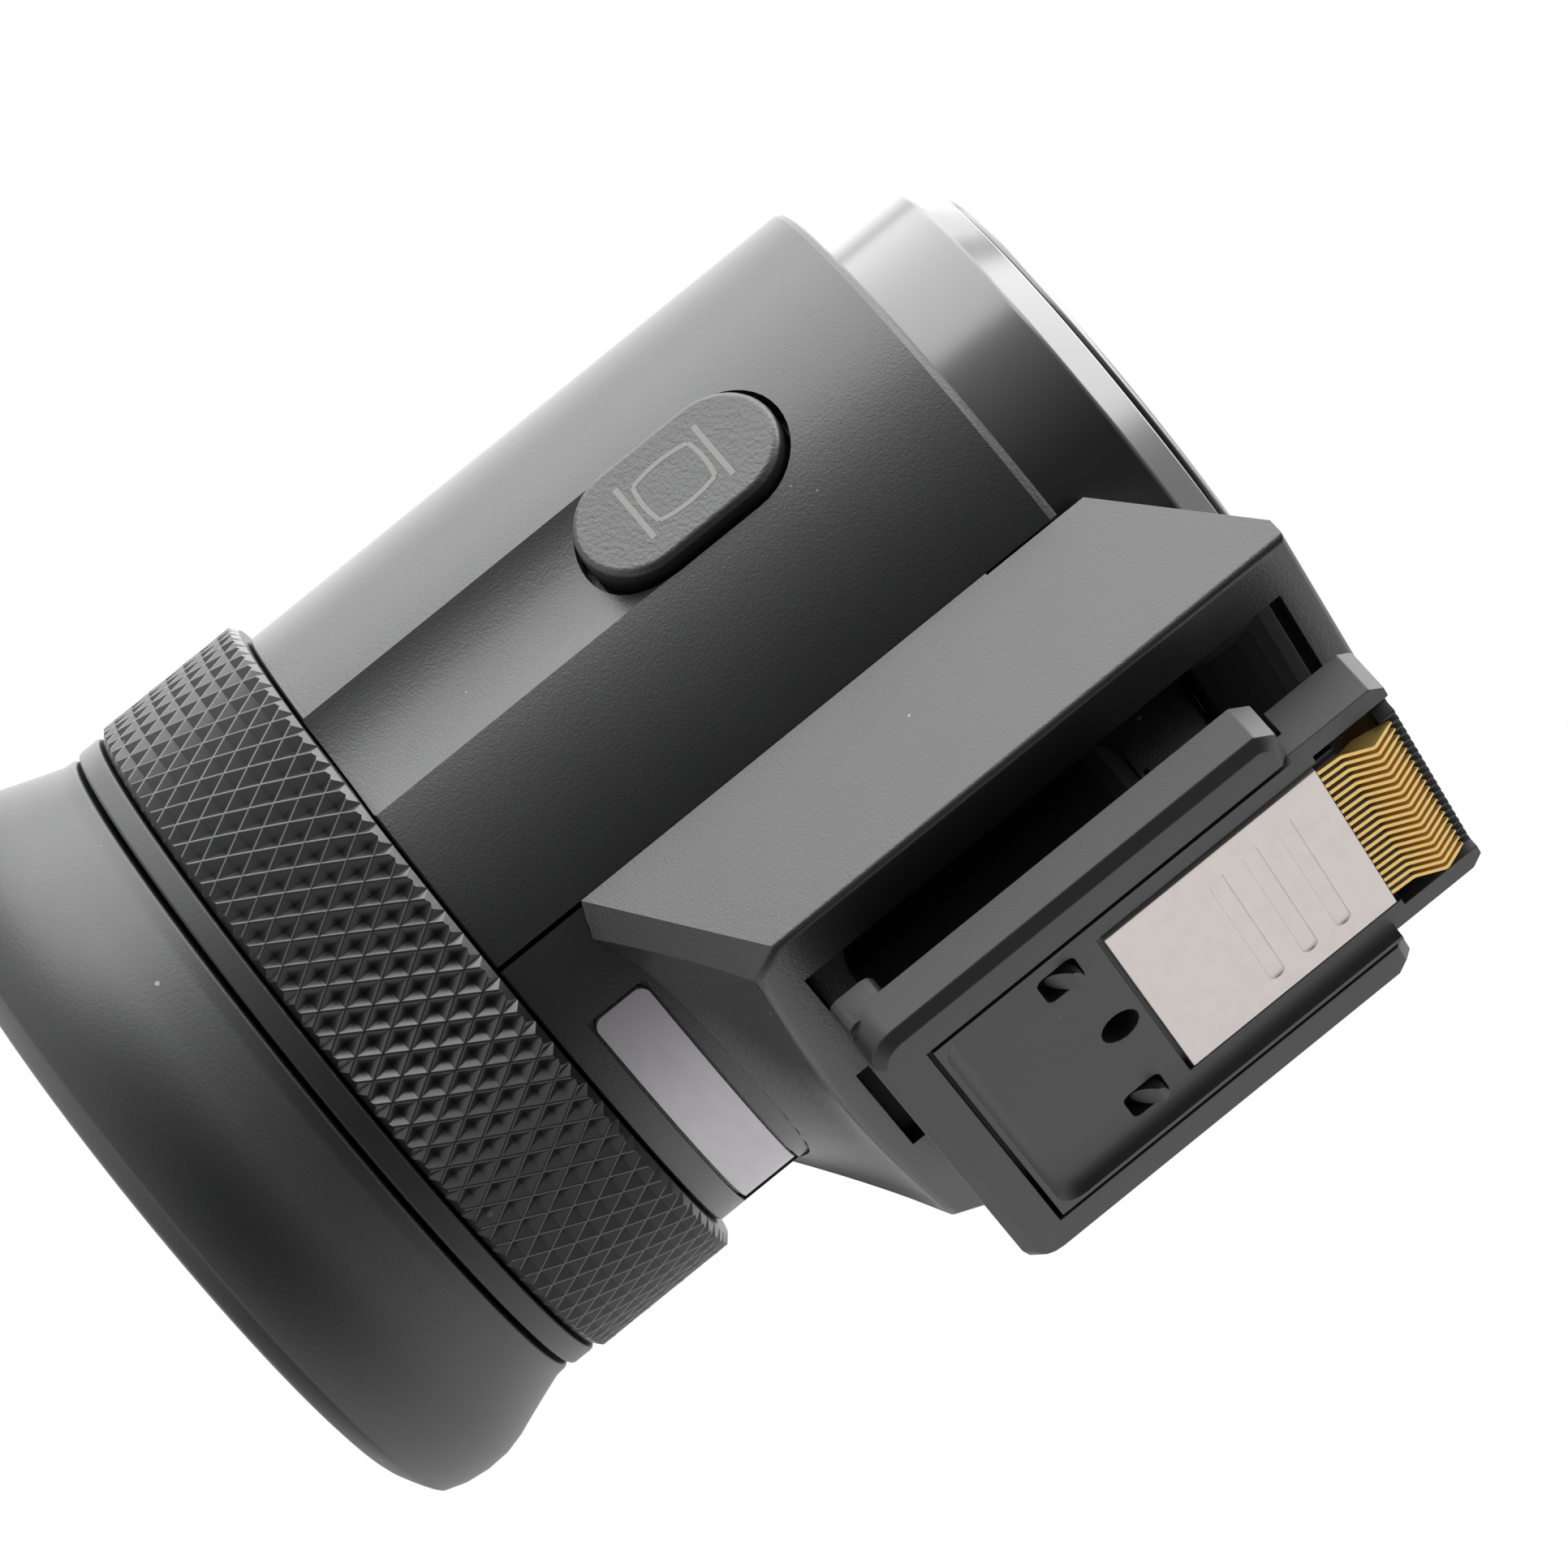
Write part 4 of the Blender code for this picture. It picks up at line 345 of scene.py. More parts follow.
def plasticMaterial(name, values):
    # Moulded plastic or rubber: grain, cloudy gloss and a little dust
    look = {**plasticBasics, **values}
    material, tree, make, shader = newMaterial(name)
    where = make("ShaderNodeTexCoord").outputs["Object"]
    grain = make("ShaderNodeGroup", node_tree=grainGroup)
    tree.links.new(where, grain.inputs["Coordinates"])
    grain.inputs["Grain per metre"].default_value = look["grain"]
    grain.inputs["Specks"].default_value = look["specks"]
    dark = (*look["color"], 1)
    light = (*[min(1, value * look["cloud"]) for value in look["color"]], 1)
    tone = mixedColor(make, grain.outputs["Patches"], dark, light)
    dusty = mixedColor(make, grain.outputs["Speck mask"], tone, (*look["dust"], 1))
    linkSurface(tree, shader, look, dusty, grain.outputs["Patches"], grain.outputs["Height"])
    shader.inputs["Specular IOR Level"].default_value = look["specular"]
    shader.inputs["Coat Weight"].default_value = look["coat"]
    shader.inputs["Coat Roughness"].default_value = look["coatRoughness"]
    return material


def metalMaterial(name, values):
    # Rolled or plated metal: streaks along one axis in its gloss and tone
    look = {**metalBasics, **values}
    material, tree, make, shader = newMaterial(name)
    where = make("ShaderNodeTexCoord").outputs["Object"]
    stretched = make("ShaderNodeMapping", {"Vector": where, "Scale": look["stretch"]})
    streaks = make("ShaderNodeTexNoise", {"Vector": stretched.outputs[0], "Scale": look["grain"],
                                          "Detail": 3.0})
    streak, color = streaks.outputs["Fac"], look["color"]
    tone = mixedColor(make, streak, (*color, 1), (*[value * look["cloud"] for value in color], 1))
    linkSurface(tree, shader, look, tone, streak, streak)
    shader.inputs["Metallic"].default_value = look["metallic"]
    return material


grainGroup = buildGrainGroup()

# What the looks share, unless one of them says otherwise
plasticBasics = {"cloud": 1.3, "dust": (0.30, 0.30, 0.30), "grain": 9000.0, "depth": 0.00003,
                 "specular": 0.5, "coat": 0.0, "coatRoughness": 0.1}
metalBasics = {"grain": 900.0, "roughness": (0.40, 0.50), "bump": 0.05, "depth": 0.00001,
               "metallic": 1.0}
plasticLooks = {
    "body": {"color": (0.013, 0.0135, 0.0145), "specks": 0.9, "roughness": (0.34, 0.43),
             "bump": 0.35, "depth": 0.00004, "specular": 1.0},
    "gloss": {"color": (0.010, 0.010, 0.011), "cloud": 1.2, "dust": (0.25, 0.25, 0.25),
              "grain": 6000.0, "specks": 0.5, "roughness": (0.22, 0.30), "bump": 0.06,
              "depth": 0.00002, "specular": 1.0, "coat": 1.0, "coatRoughness": 0.2},
    "ring": {"color": (0.013, 0.0135, 0.0145), "specks": 0.9, "roughness": (0.27, 0.36),
             "bump": 0.12, "specular": 1.0},
    "rubber": {"color": (0.014, 0.0145, 0.016), "cloud": 1.4, "grain": 7000.0, "specks": 0.8,
               "roughness": (0.38, 0.50), "bump": 0.30, "specular": 0.9},
    "foot": {"color": (0.030, 0.0305, 0.032), "cloud": 1.15, "grain": 10000.0, "specks": 0.9,
             "roughness": (0.38, 0.48), "bump": 0.22, "specular": 0.6},
    "button": {"color": (0.020, 0.0205, 0.022), "grain": 5500.0, "specks": 0.5,
               "roughness": (0.34, 0.44), "bump": 0.5, "depth": 0.00006, "specular": 1.0},
    "inner": {"color": (0.008, 0.008, 0.0085), "dust": (0.2, 0.2, 0.2), "grain": 6000.0,
              "specks": 0.4, "roughness": (0.6, 0.75), "bump": 0.2, "specular": 0.12},
    "carrier": {"color": (0.010, 0.010, 0.011), "dust": (0.2, 0.2, 0.2), "specks": 0.6,
                "roughness": (0.40, 0.52), "bump": 0.2, "specular": 0.4},
    "print": {"color": (0.34, 0.34, 0.33), "cloud": 1.08, "dust": (0.4, 0.4, 0.4),
              "grain": 12000.0, "specks": 0.3, "roughness": (0.45, 0.6), "bump": 0.4,
              "specular": 0.4},
    "washer": {"color": (0.68, 0.67, 0.62), "cloud": 1.05, "dust": (0.4, 0.4, 0.4),
               "grain": 5000.0, "specks": 0.2, "roughness": (0.4, 0.5), "bump": 0.1,
               "depth": 0.00002},
    "diffuser": {"color": (0.72, 0.72, 0.71), "cloud": 1.03, "dust": (0.5, 0.5, 0.5),
                 "grain": 4000.0, "specks": 0.1, "roughness": (0.5, 0.6), "bump": 0.05,
                 "depth": 0.00002},
    "board": {"color": (0.018, 0.105, 0.048), "dust": (0.2, 0.3, 0.2), "grain": 3000.0,
              "specks": 0.3, "roughness": (0.3, 0.4), "bump": 0.15, "depth": 0.00002},
    "chip": {"color": (0.014, 0.014, 0.015), "cloud": 1.2, "dust": (0.2, 0.2, 0.2),
             "grain": 8000.0, "specks": 0.2, "roughness": (0.5, 0.6), "bump": 0.2,
             "depth": 0.00002},
    "film": {"color": (0.300, 0.120, 0.030), "cloud": 1.15, "dust": (0.4, 0.3, 0.2),
             "grain": 2500.0, "specks": 0.2, "roughness": (0.28, 0.36), "bump": 0.05,
             "depth": 0.00002},
    "display": {"color": (0.018, 0.022, 0.030), "cloud": 1.2, "dust": (0.1, 0.1, 0.1),
                "grain": 3000.0, "specks": 0.1, "roughness": (0.08, 0.12), "bump": 0.02,
                "depth": 0.00001},
}
metalLooks = {
    "plate": {"color": (0.82, 0.76, 0.73), "cloud": 0.96, "stretch": (1.0, 2.0, 1.0),
              "bump": 0.06, "metallic": 0.75},
    "gold": {"color": (1.0, 0.67, 0.21), "cloud": 0.88, "stretch": (6.0, 1.0, 1.0),
             "grain": 1500.0, "roughness": (0.34, 0.44), "metallic": 0.72},
    "label": {"color": (0.58, 0.56, 0.585), "cloud": 0.95, "stretch": (1.0, 3.0, 1.0),
              "grain": 700.0, "metallic": 0.75},
    "steel": {"color": (0.56, 0.565, 0.57), "cloud": 0.88, "stretch": (8.0, 1.0, 1.0),
              "roughness": (0.24, 0.36)},
    "switch": {"color": (0.52, 0.52, 0.515), "cloud": 0.9, "stretch": (1.0, 5.0, 1.0),
               "roughness": (0.26, 0.36)},
}
glassLook = {"refraction": 1.5, "smear": 160.0, "roughest": 0.03, "rim": 0.4,
             "clear": (0.97, 0.98, 1.0, 1), "film": (0.62, 0.74, 0.95, 1)}


def glassMaterial(name):
    # Coated glass: clear, with a faint cool film that shows at the rim
    look = glassLook
    material, tree, make, shader = newMaterial(name)
    shader.inputs["Transmission Weight"].default_value = 1.0
    shader.inputs["IOR"].default_value = look["refraction"]
    where = make("ShaderNodeTexCoord").outputs["Object"]
    smear = make("ShaderNodeTexNoise", {"Vector": where, "Scale": look["smear"], "Detail": 3.0})
    gloss = ranged(make, smear.outputs["Fac"], 0.0, look["roughest"])
    tree.links.new(gloss, shader.inputs["Roughness"])
    edge = make("ShaderNodeLayerWeight", {"Blend": look["rim"]})
    tint = mixedColor(make, edge.outputs["Facing"], look["clear"], look["film"])
    tree.links.new(tint, shader.inputs["Base Color"])
    return material


materials = {name: plasticMaterial(name, look) for name, look in plasticLooks.items()}
materials.update({name: metalMaterial(name, look) for name, look in metalLooks.items()})
materials["glass"] = glassMaterial("glass")
print("materials made")


# Eyecup, its ring and the knurled ring

# Outline of (radius, along, rounding), from the throat over the neck, widest rim and mouth
eyecupShape = {"steps": 200,
               "outline": [(9.8, -26.25, 0.25), (13.3, -26.25, 0.1), (13.3, -25.0, 0.1),
                           (14.6, -25.0, 0.18), (14.65, -25.55), (15.1, -26.9, 1.2),
                           (16.2, -29.7, 1.9), (15.3, -31.6, 1.3), (13.6, -32.5, 0.9),
                           (12.3, -32.35, 0.7), (11.2, -31.3, 0.9), (9.8, -27.45, 1.2)]}


def buildEyecup():
    bm = lathe(eyecupShape["outline"], eyecupShape["steps"])
    finishPiece("rubberEyecup", bm, "rubber", "barrel", ["eyecup"])


cupRingShape = {"steps": 200, "radius": 14.7, "bore": 12.35, "front": -23.84, "rear": -24.8}


def buildCupRing():
    size = cupRingShape
    front, rear, radius = size["front"], size["rear"], size["radius"]
    outline = [(size["bore"], rear, 0.05), (radius, rear, 0.14), (radius, front, 0.12),
               (size["bore"], front, 0.05)]
    finishPiece("eyecupCollar", lathe(outline, size["steps"]), "foot", "barrel",
                ["eyecup_ring"])


knurlShape = {"around": 90, "rowPitch": 0.82, "radius": 14.9, "depth": 0.42, "ridge": 0.08,
              "front": -17.25, "rear": -23.7, "bore": 12.3, "band": 0.3, "endRadius": 14.55,
              "lap": 0.2, "coneSteps": 240}


def onRidge(co):
    return sqrt(co.x**2 + co.z**2) > knurlShape["radius"] - 0.01


def buildKnurledRing():
    # One column of staggered pits, spun round the ring, leaves a net of rounded ridges
    size = knurlShape
    halfTurn = pi / size["around"]
    middle = (size["front"] + size["rear"]) / 2
    rows = 2 * int((size["front"] - middle) / size["rowPitch"] + 1)
    bm = bmesh.new()
    bmesh.ops.create_grid(bm, x_segments=2, y_segments=rows, size=1.0)
    for vert in bm.verts:
        column = round(vert.co.x)
        row = round(vert.co.y * rows / 2)
        radius = size["radius"] - size["depth"] * ((row + column) % 2)
        turn = column * halfTurn
        vert.co = (radius * cos(turn), middle + row * size["rowPitch"], radius * sin(turn))
    for face in bm.faces[:]:
        bmesh.ops.connect_verts(bm, verts=[vert for vert in face.verts if onRidge(vert.co)])
    bmesh.ops.spin(bm, geom=bm.verts[:] + bm.edges[:] + bm.faces[:], cent=(0, 0, 0), axis=(0, 1, 0),
                   angle=2 * pi, steps=size["around"], use_duplicate=True)
    bmesh.ops.remove_doubles(bm, verts=bm.verts, dist=0.004)
    bmesh.ops.recalc_face_normals(bm, faces=bm.faces)
    net = pickEdges(bm, lambda edge: not edge.is_boundary and allVerts(edge, onRidge))
    roundEdges(bm, net, size["ridge"], 3)
    for place, facing in ((size["front"], 1), (size["rear"], -1)):
        sliced(bm, (0, place, 0), (0, facing, 0))
    finishRing(bm, size)


def rimEdges(bm, middle, side):
    return pickEdges(bm, lambda edge: edge.is_boundary and (edge.verts[0].co.y - middle) * side > 0)


def finishRing(bm, size):
    # Closes the knurl over its bore and turns a plain cone at both ends
    middle = (size["front"] + size["rear"]) / 2
    for side, end in ((1, size["front"]), (-1, size["rear"])):
        wall = bmesh.ops.extrude_edge_only(bm, edges=rimEdges(bm, middle, side))["geom"]
        for vert in [item for item in wall if isinstance(item, bmesh.types.BMVert)]:
            share = size["bore"] / sqrt(vert.co.x**2 + vert.co.z**2)
            vert.co = (vert.co.x * share, end, vert.co.z * share)
    bmesh.ops.bridge_loops(bm, edges=pickEdges(bm, lambda edge: edge.is_boundary))
    tidyShape(bm)
    bmesh.ops.translate(bm, vec=(0, 0, axisHeight), verts=bm.verts)
    half = (size["front"] - size["rear"]) / 2
    slope = (size["radius"] - size["endRadius"]) / size["band"]
    lap = size["lap"]
    outline = [(size["bore"] - 1, middle - half - lap)]
    for side in (-1, 1):
        ends = [(size["endRadius"] - lap * slope, middle + side * (half + lap)),
                (size["radius"] + lap * slope, middle + side * (half - size["band"] - lap))]
        outline += ends[::-side]
    outline.append((size["bore"] - 1, middle + half + lap))
    bm = combined(bm, lathe(outline, size["coneSteps"]), "INTERSECT")
    finishPiece("knurledRing", bm, "ring", "ring", ["diopter_ring"],
                smoothAngle=radians(35))


# Barrel

barrelShape = {"steps": 220, "radius": 14.0, "wall": 1.4, "split": radians(41), "seam": 0.2,
               "rearEdge": 0.08, "frontEdge": 0.32, "frontSoft": 0.1, "scoopWidth": 5.4,
               "scoopDepth": 0.55, "scoopLength": 15.2, "scoopSteps": 160, "buttonGap": 0.28}
panelCuts = {"recessFloor": 13.65, "recessTop": 14.6, "recessRear": -15.95, "recessFront": -13.35,
             "recessArc": radians(68), "notchAcross": (6.6, 8.2), "notchAlong": (5.45, 9),
             "notchHeight": (7, 15.7)}


def barrelOutline():
    size = barrelShape
    radius, bore = size["radius"], size["radius"] - size["wall"]
    rear, front, soft = size["rearEdge"], size["frontEdge"], size["frontSoft"]
    return [(bore, barrelRear), (radius - rear, barrelRear), (radius, barrelRear + rear),
            (radius, barrelFront - front), (radius - soft, barrelFront - soft),
            (radius - front, barrelFront), (bore, barrelFront)]


def buildBarrelShell():
    size = barrelShape
    shell = latheSector(barrelOutline(), -size["split"], pi + 2 * size["split"], size["steps"])
    chord = size["scoopWidth"] / 2
    scoopRadius = (chord**2 + size["scoopDepth"] ** 2) / (2 * size["scoopDepth"])
    reach = sqrt(size["radius"] ** 2 - chord**2) - size["scoopDepth"] + scoopRadius
    middle = barrelRear + (size["scoopLength"] - 1) / 2
    scoop = rod(scoopRadius, size["scoopLength"] + 1, size["scoopSteps"], (reach, middle, 0), "Y")
    shell = carved(shell, atButton(scoop))
    button, gap = buttonShape, size["buttonGap"]
    hole = slotOutline(10, button["place"], button["length"] + 2 * gap, button["width"] + 2 * gap, 20)
    shell = carved(shell, atButton(pulled(hole, (6, 0, 0))))
    finishPiece("barrelShell", shell, "body", "barrel", ["barrel_shell"],
                smoothAngle=radians(16))


def buildLowerPanel():
    size = barrelShape
    seamTurn = size["seam"] / size["radius"]
    start = -pi + size["split"] + seamTurn
    arc = pi - 2 * size["split"] - 2 * seamTurn
    panel = latheSector(barrelOutline(), start, arc, 90)
    cuts = panelCuts
    rear, front, arc = cuts["recessRear"], cuts["recessFront"], cuts["recessArc"]
    floor, top = cuts["recessFloor"], cuts["recessTop"]
    recess = [(floor, rear), (top, rear), (top, front), (floor, front)]
    panel = carved(panel, latheSector(recess, -pi / 2 - arc / 2, arc, 60))
    notches = []
    for side in (-1, 1):
        left, right = sorted(side * across for across in cuts["notchAcross"])
        low, high = zip((left, right), cuts["notchAlong"], cuts["notchHeight"])
        notches.append(block(low, high))
    panel = carved(panel, joined(notches))
    finishPiece("lowerPanel", panel, "body", "barrel", ["lower_panel"],
                smoothAngle=radians(25))


labelShape = {"rear": -15.85, "front": -13.45, "inner": 13.75, "outer": 13.88, "arc": radians(67),
              "corner": 0.45, "edge": 0.03}


def buildLabel():
    size = labelShape
    inner, outer, edge = size["inner"], size["outer"], size["edge"]
    rear, front = size["rear"], size["front"]
    outline = [(inner, rear), (outer - edge, rear), (outer, rear + edge), (outer, front - edge),
               (outer - edge, front), (inner, front)]
    foil = latheSector(outline, -pi / 2 - size["arc"] / 2, size["arc"], 80)
    reach = outer * sin(size["arc"] / 2) - 0.05
    frameBlock = block((-reach, rear - 0.001, 5), (reach, front + 0.001, 12))
    corners = pickEdges(frameBlock, isUpright)
    foil = combined(foil, roundEdges(frameBlock, corners, size["corner"], 5), "INTERSECT")
    finishPiece("labelFoil", foil, "label", "barrel", ["blank_label"])


# Button

buttonShape = {"place": -1.41, "length": 8.6, "width": 4.9, "top": 14.42, "bottom": 11.5, "edge": 0.3,
               "flange": 0.6, "flangeThickness": 0.4}
iconShape = {"rise": 0.012, "sunk": 0.02, "line": 0.19, "barLine": 0.23, "height": 2.8,
             "barPlace": 1.8, "screenLength": 2.52, "screenHeight": 1.9, "longBow": 0.18,
             "shortBow": 0.115}


def buildButton():
    size = buttonShape
    flangeTop = size["bottom"] + size["flangeThickness"]
    cap = pulled(slotOutline(size["bottom"], size["place"], size["length"], size["width"], 24),
                 (size["top"] - size["bottom"], 0, 0))
    roundEdges(cap, edgesWhere(cap, lambda co: co.x > size["top"] - 0.01), size["edge"], 5)
    flange = pulled(slotOutline(size["bottom"], size["place"], size["length"] + 2 * size["flange"],
                                size["width"] + 2 * size["flange"], 24), (flangeTop - size["bottom"], 0, 0))
    cap = welded(flange, cap)
    finishPiece("displayButton", atButton(cap), "button", "button",
                ["display_button"])


def iconLine(start, end, bow, line, steps=12):
    # A printed stroke from one point to the other, bowed to the side
    (y0, z0), (y1, z1) = start, end
    direction = Vector((y1 - y0, z1 - z0))
    side = Vector((-direction.y, direction.x)).normalized()
    middles = []
    for step in range(steps + 1):
        share = step / steps
        swell = bow * 4 * share * (1 - share)
        middles.append(Vector((y0, z0)) + direction * share + side * swell)
    left = [middle + side * line / 2 for middle in middles]
    right = [middle - side * line / 2 for middle in middles]
    level = buttonShape["top"] - iconShape["sunk"]
    points = [(level, point.x + buttonShape["place"], point.y) for point in left + right[::-1]]
    return pulled(points, (iconShape["sunk"] + iconShape["rise"], 0, 0))


def buildIcon():
    size = iconShape
    halfLength, halfHeight = size["screenLength"] / 2, size["screenHeight"] / 2
    corners = [(-halfLength, -halfHeight), (-halfLength, halfHeight), (halfLength, halfHeight),
               (halfLength, -halfHeight)]
    bows = [size["shortBow"], size["longBow"]] * 2
    strokes = [iconLine(corners[index], corners[(index + 1) % 4], bows[index], size["line"])
               for index in range(4)]
    top = size["height"] / 2
    for side in (-1, 1):
        along = side * size["barPlace"]
        strokes.append(iconLine((along, -top), (along, top), 0, size["barLine"], 1))
    icon = strokes[0]
    for stroke in strokes[1:]:
        icon = welded(icon, stroke)
    finishPiece("displayIcon", atButton(icon), "print", "button")


# Front cap and disc

# Outlines of (radius, along, rounding)
frontShape = {"steps": 200,
              "cap": [(10.0, 6.65), (12.2, 6.65, 0.1), (12.2, 12.05, 0.12), (11.3, 13.15, 0.08),
                      (10.9, 13.15, 0.08), (10.9, 11.85), (10.0, 11.85)],
              "disc": [(0, 12.05), (10.7, 12.05), (10.7, 13.18), (10.92, 13.2, 0.03),
                       (10.92, 13.4, 0.1), (10.55, 13.55, 0.1), (9.7, 13.55, 0.1),
                       (9.4, 13.25, 0.15), (0, 13.25)]}


def buildFront():
    cap = lathe(frontShape["cap"], frontShape["steps"])
    finishPiece("frontCap", cap, "gloss", "barrel", ["front_cap"])
    disc = lathe(frontShape["disc"], frontShape["steps"], closed=False)
    finishPiece("frontDisc", disc, "gloss", "barrel", ["front_disc"])


# Base, foot and tray

def dressedCopy(node, name, edge, change):
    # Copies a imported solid, changes it and softens its edges
    bm = bmesh.new()
    bm.from_mesh(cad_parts[node].data)
    scale = 1 / millimetre
    bmesh.ops.scale(bm, vec=(scale, scale, scale), verts=bm.verts)
    bmesh.ops.remove_doubles(bm, verts=bm.verts, dist=0.002)
    bmesh.ops.dissolve_limit(bm, angle_limit=radians(1.5), verts=bm.verts, edges=bm.edges)
    bm = change(bm)
    roundEdges(bm, sharpEdges(bm, radians(32)), edge, 2)
    finishPiece(name, bm, "foot", "base", [node])


def buildFoot():
    dressedCopy("foot_flange", "footFlange", 0.1, withoutHooks)
    dressedCopy("contact_tray", "contactTray", 0.06, withHookOpenings)
    buildTrayCove()
    buildHooks()


baseShape = {"topWidth": 21.196, "soleWidth": 22.596, "sole": 4.7, "top": 12.6, "strips": 12,
             "rearPoints": 8, "rearTop": -12.85, "tipReach": 1.7, "rearRim": -10.1, "rimBow": 0.7,
             "front": 13.65, "frontRim": 1.0, "cheekTop": 11.8, "cheekFront": 9.45, "corner": 1.0,
             "soleEdge": 0.9, "edge": 0.12, "cradle": 14.12, "cradleOuter": 15.6,
             "cradleFront": 4.95}
cavityShape = {"half": 8.65, "rear": -8.95, "front": 12.42, "innerCheek": 10.8, "lap": 0.1,
               "screenRear": 12.1, "screenFront": 13.1, "screenLow": 5.4, "screenHigh": 5.84,
               "notchLow": (-4.35, -9.7, 4.0), "notchHigh": (1.75, -8.9, 5.45),
               "roofLow": (-4.33, -9.68, 5.2), "roofHigh": (1.73, -8.95, 5.44),
               "screwSpread": 4.0, "screwRows": (-5.15, 1.85), "screwRadius": 1.0,
               "screwSeat": 6.67, "sinkDepth": 3.0}


def axisRod(radius, rear, front):
    return rod(radius, front - rear, 180, (0, (front + rear) / 2, axisHeight), "Y")


def baseSection(share):
    # Side view of the base at a share of its half width: the rear sweeps back towards the middle
    size = baseShape
    slope = (size["front"] - size["cheekFront"]) / (size["cheekTop"] - size["sole"] - size["frontRim"])
    foot = axisHeight - sqrt(barrelShape["radius"] ** 2 - (share * size["topWidth"] / 2) ** 2)
    rim = size["rearRim"] - size["rimBow"] * (1 - share**2)
    rearTop = size["rearTop"] - size["tipReach"] * share**6
    points = [(rearTop, size["top"])]
    for step in range(size["rearPoints"] + 1):
        drop = step / size["rearPoints"]
        along = rearTop + (rim - rearTop) * (1 - (1 - drop) ** (2 - share**2))
        points.append((along, foot + (size["sole"] - foot) * drop))
    topFront = size["cheekFront"] - slope * (size["top"] - size["cheekTop"])
    return points + [(size["front"], size["sole"]), (size["front"], size["sole"] + size["frontRim"]),
                     (topFront, size["top"])]


def baseBlock():
    # The base's outside: a loft across its width, flat chamfers behind and a round edge below
    size = baseShape
    bm = bmesh.new()
    loops = []
    for strip in range(size["strips"] + 1):
        share = 2 * strip / size["strips"] - 1
        loop = []
        for along, height in baseSection(abs(share)):
            rise = (height - size["sole"]) / (size["top"] - size["sole"])
            width = size["soleWidth"] + (size["topWidth"] - size["soleWidth"]) * rise
            loop.append(bm.verts.new((share * width / 2, along, height)))
        loops.append(loop)
    bm.faces.new(loops[0])
    bm.faces.new(loops[-1])
    for first, second in zip(loops, loops[1:]):
        for corner in range(len(first)):
            after = (corner + 1) % len(first)
            bm.faces.new([first[corner], first[after], second[after], second[corner]])
    bmesh.ops.recalc_face_normals(bm, faces=bm.faces)
    side = size["topWidth"] / 2 - 0.1
    corners = sharpEdges(bm, radians(40), lambda co: abs(co.x) > side and co.y < size["rearRim"] + 0.01)
    roundEdges(bm, corners, size["corner"], 1)
    lower = sharpEdges(bm, radians(40), lambda co: co.z < size["sole"] + 0.01)
    return roundEdges(bm, lower, size["soleEdge"], 5)


def cheekReliefs():
    # Slopes the cheeks' inner top edges, so that the barrel's edge passes over them as it tilts
    size = cavityShape
    outer = baseShape["topWidth"] / 2
    rear, reach = baseShape["cradleFront"] + size["lap"], size["lap"]
    slope = (baseShape["cheekTop"] - size["innerCheek"]) / (outer - size["half"])
    points = [(size["half"] - reach, size["innerCheek"] - slope * reach),
              (outer + reach, baseShape["cheekTop"] + slope * reach),
              (outer + reach, axisHeight), (size["half"] - reach, axisHeight)]
    return joined([pulled([(side * across, rear, height) for across, height in points], (0, 12, 0))
                   for side in (-1, 1)])


def buildBase():
    size, room = baseShape, cavityShape
    half, front, lap = room["half"], room["front"], room["lap"]
    bm = carved(baseBlock(), axisRod(size["cradle"], barrelRear - 2, size["cheekFront"]))
    hollow = carved(block((-half, room["rear"], 3), (half, size["cradleFront"] + lap, 12)),
                    axisRod(size["cradleOuter"], barrelRear, 8))
    bm = carved(bm, hollow)
    bm = carved(bm, block((-half, size["cradleFront"], 3), (half, front, 15)))
    rim = size["sole"] + size["frontRim"]
    bm = carved(bm, block((-half, front - lap, rim), (half, size["front"] + 1, 15)))
    bm = carved(bm, cheekReliefs())
    bm = carved(bm, block(room["notchLow"], room["notchHigh"]))
    level = room["screwSeat"] + room["sinkDepth"] / 2
    sinks = [rod(room["screwRadius"], room["sinkDepth"], 40, (side * room["screwSpread"], along, level))
             for along in room["screwRows"] for side in (-1, 1)]
    bm = carved(bm, joined(sinks))
    bmesh.ops.dissolve_limit(bm, angle_limit=radians(1.0), verts=bm.verts, edges=bm.edges)
    roundEdges(bm, sharpEdges(bm, radians(38)), size["edge"], 2)
    finishPiece("baseHousing", bm, "body", "base", ["base_housing"])
    # Two dull dark sheets that close slivers of light, at the front and over the notch; they are painted
    # shade in the cavity
    screen = block((-half, room["screenRear"], room["screenLow"]),
                   (half, room["screenFront"], room["screenHigh"]))
    roof = block(room["roofLow"], room["roofHigh"])
    finishPiece("cavityShadeSheets", joined([screen, roof]), "inner", "base",
                ["base_housing"])


coveShape = {"half": 7.0, "rear": -6.95, "front": 9.0, "floor": 0.4, "round": 0.9, "corner": 1.1,
             "overlap": 0.1}


def buildTrayCove():
    # Soft hollow corner between the rails and the sunk tray
    size = coveShape
    half, rear, lap = size["half"], size["rear"], size["overlap"]
    lip = block((-half - lap, rear - lap, 0.0), (half + lap, size["front"], size["floor"] + 0.03))
    hollow = block((-half, rear, -1.5), (half, size["front"] + 3, size["floor"] + 0.05))
    corners = pickEdges(hollow, lambda edge: allVerts(edge, lambda co: co.y < rear + 0.01)
                        and isUpright(edge))
    roundEdges(hollow, corners, size["corner"], 6)
    roundEdges(hollow, edgesWhere(hollow, lambda co: co.z > size["floor"]), size["round"], 6)
    finishPiece("trayCove", carved(lip, hollow), "foot", "base", ["contact_tray"])


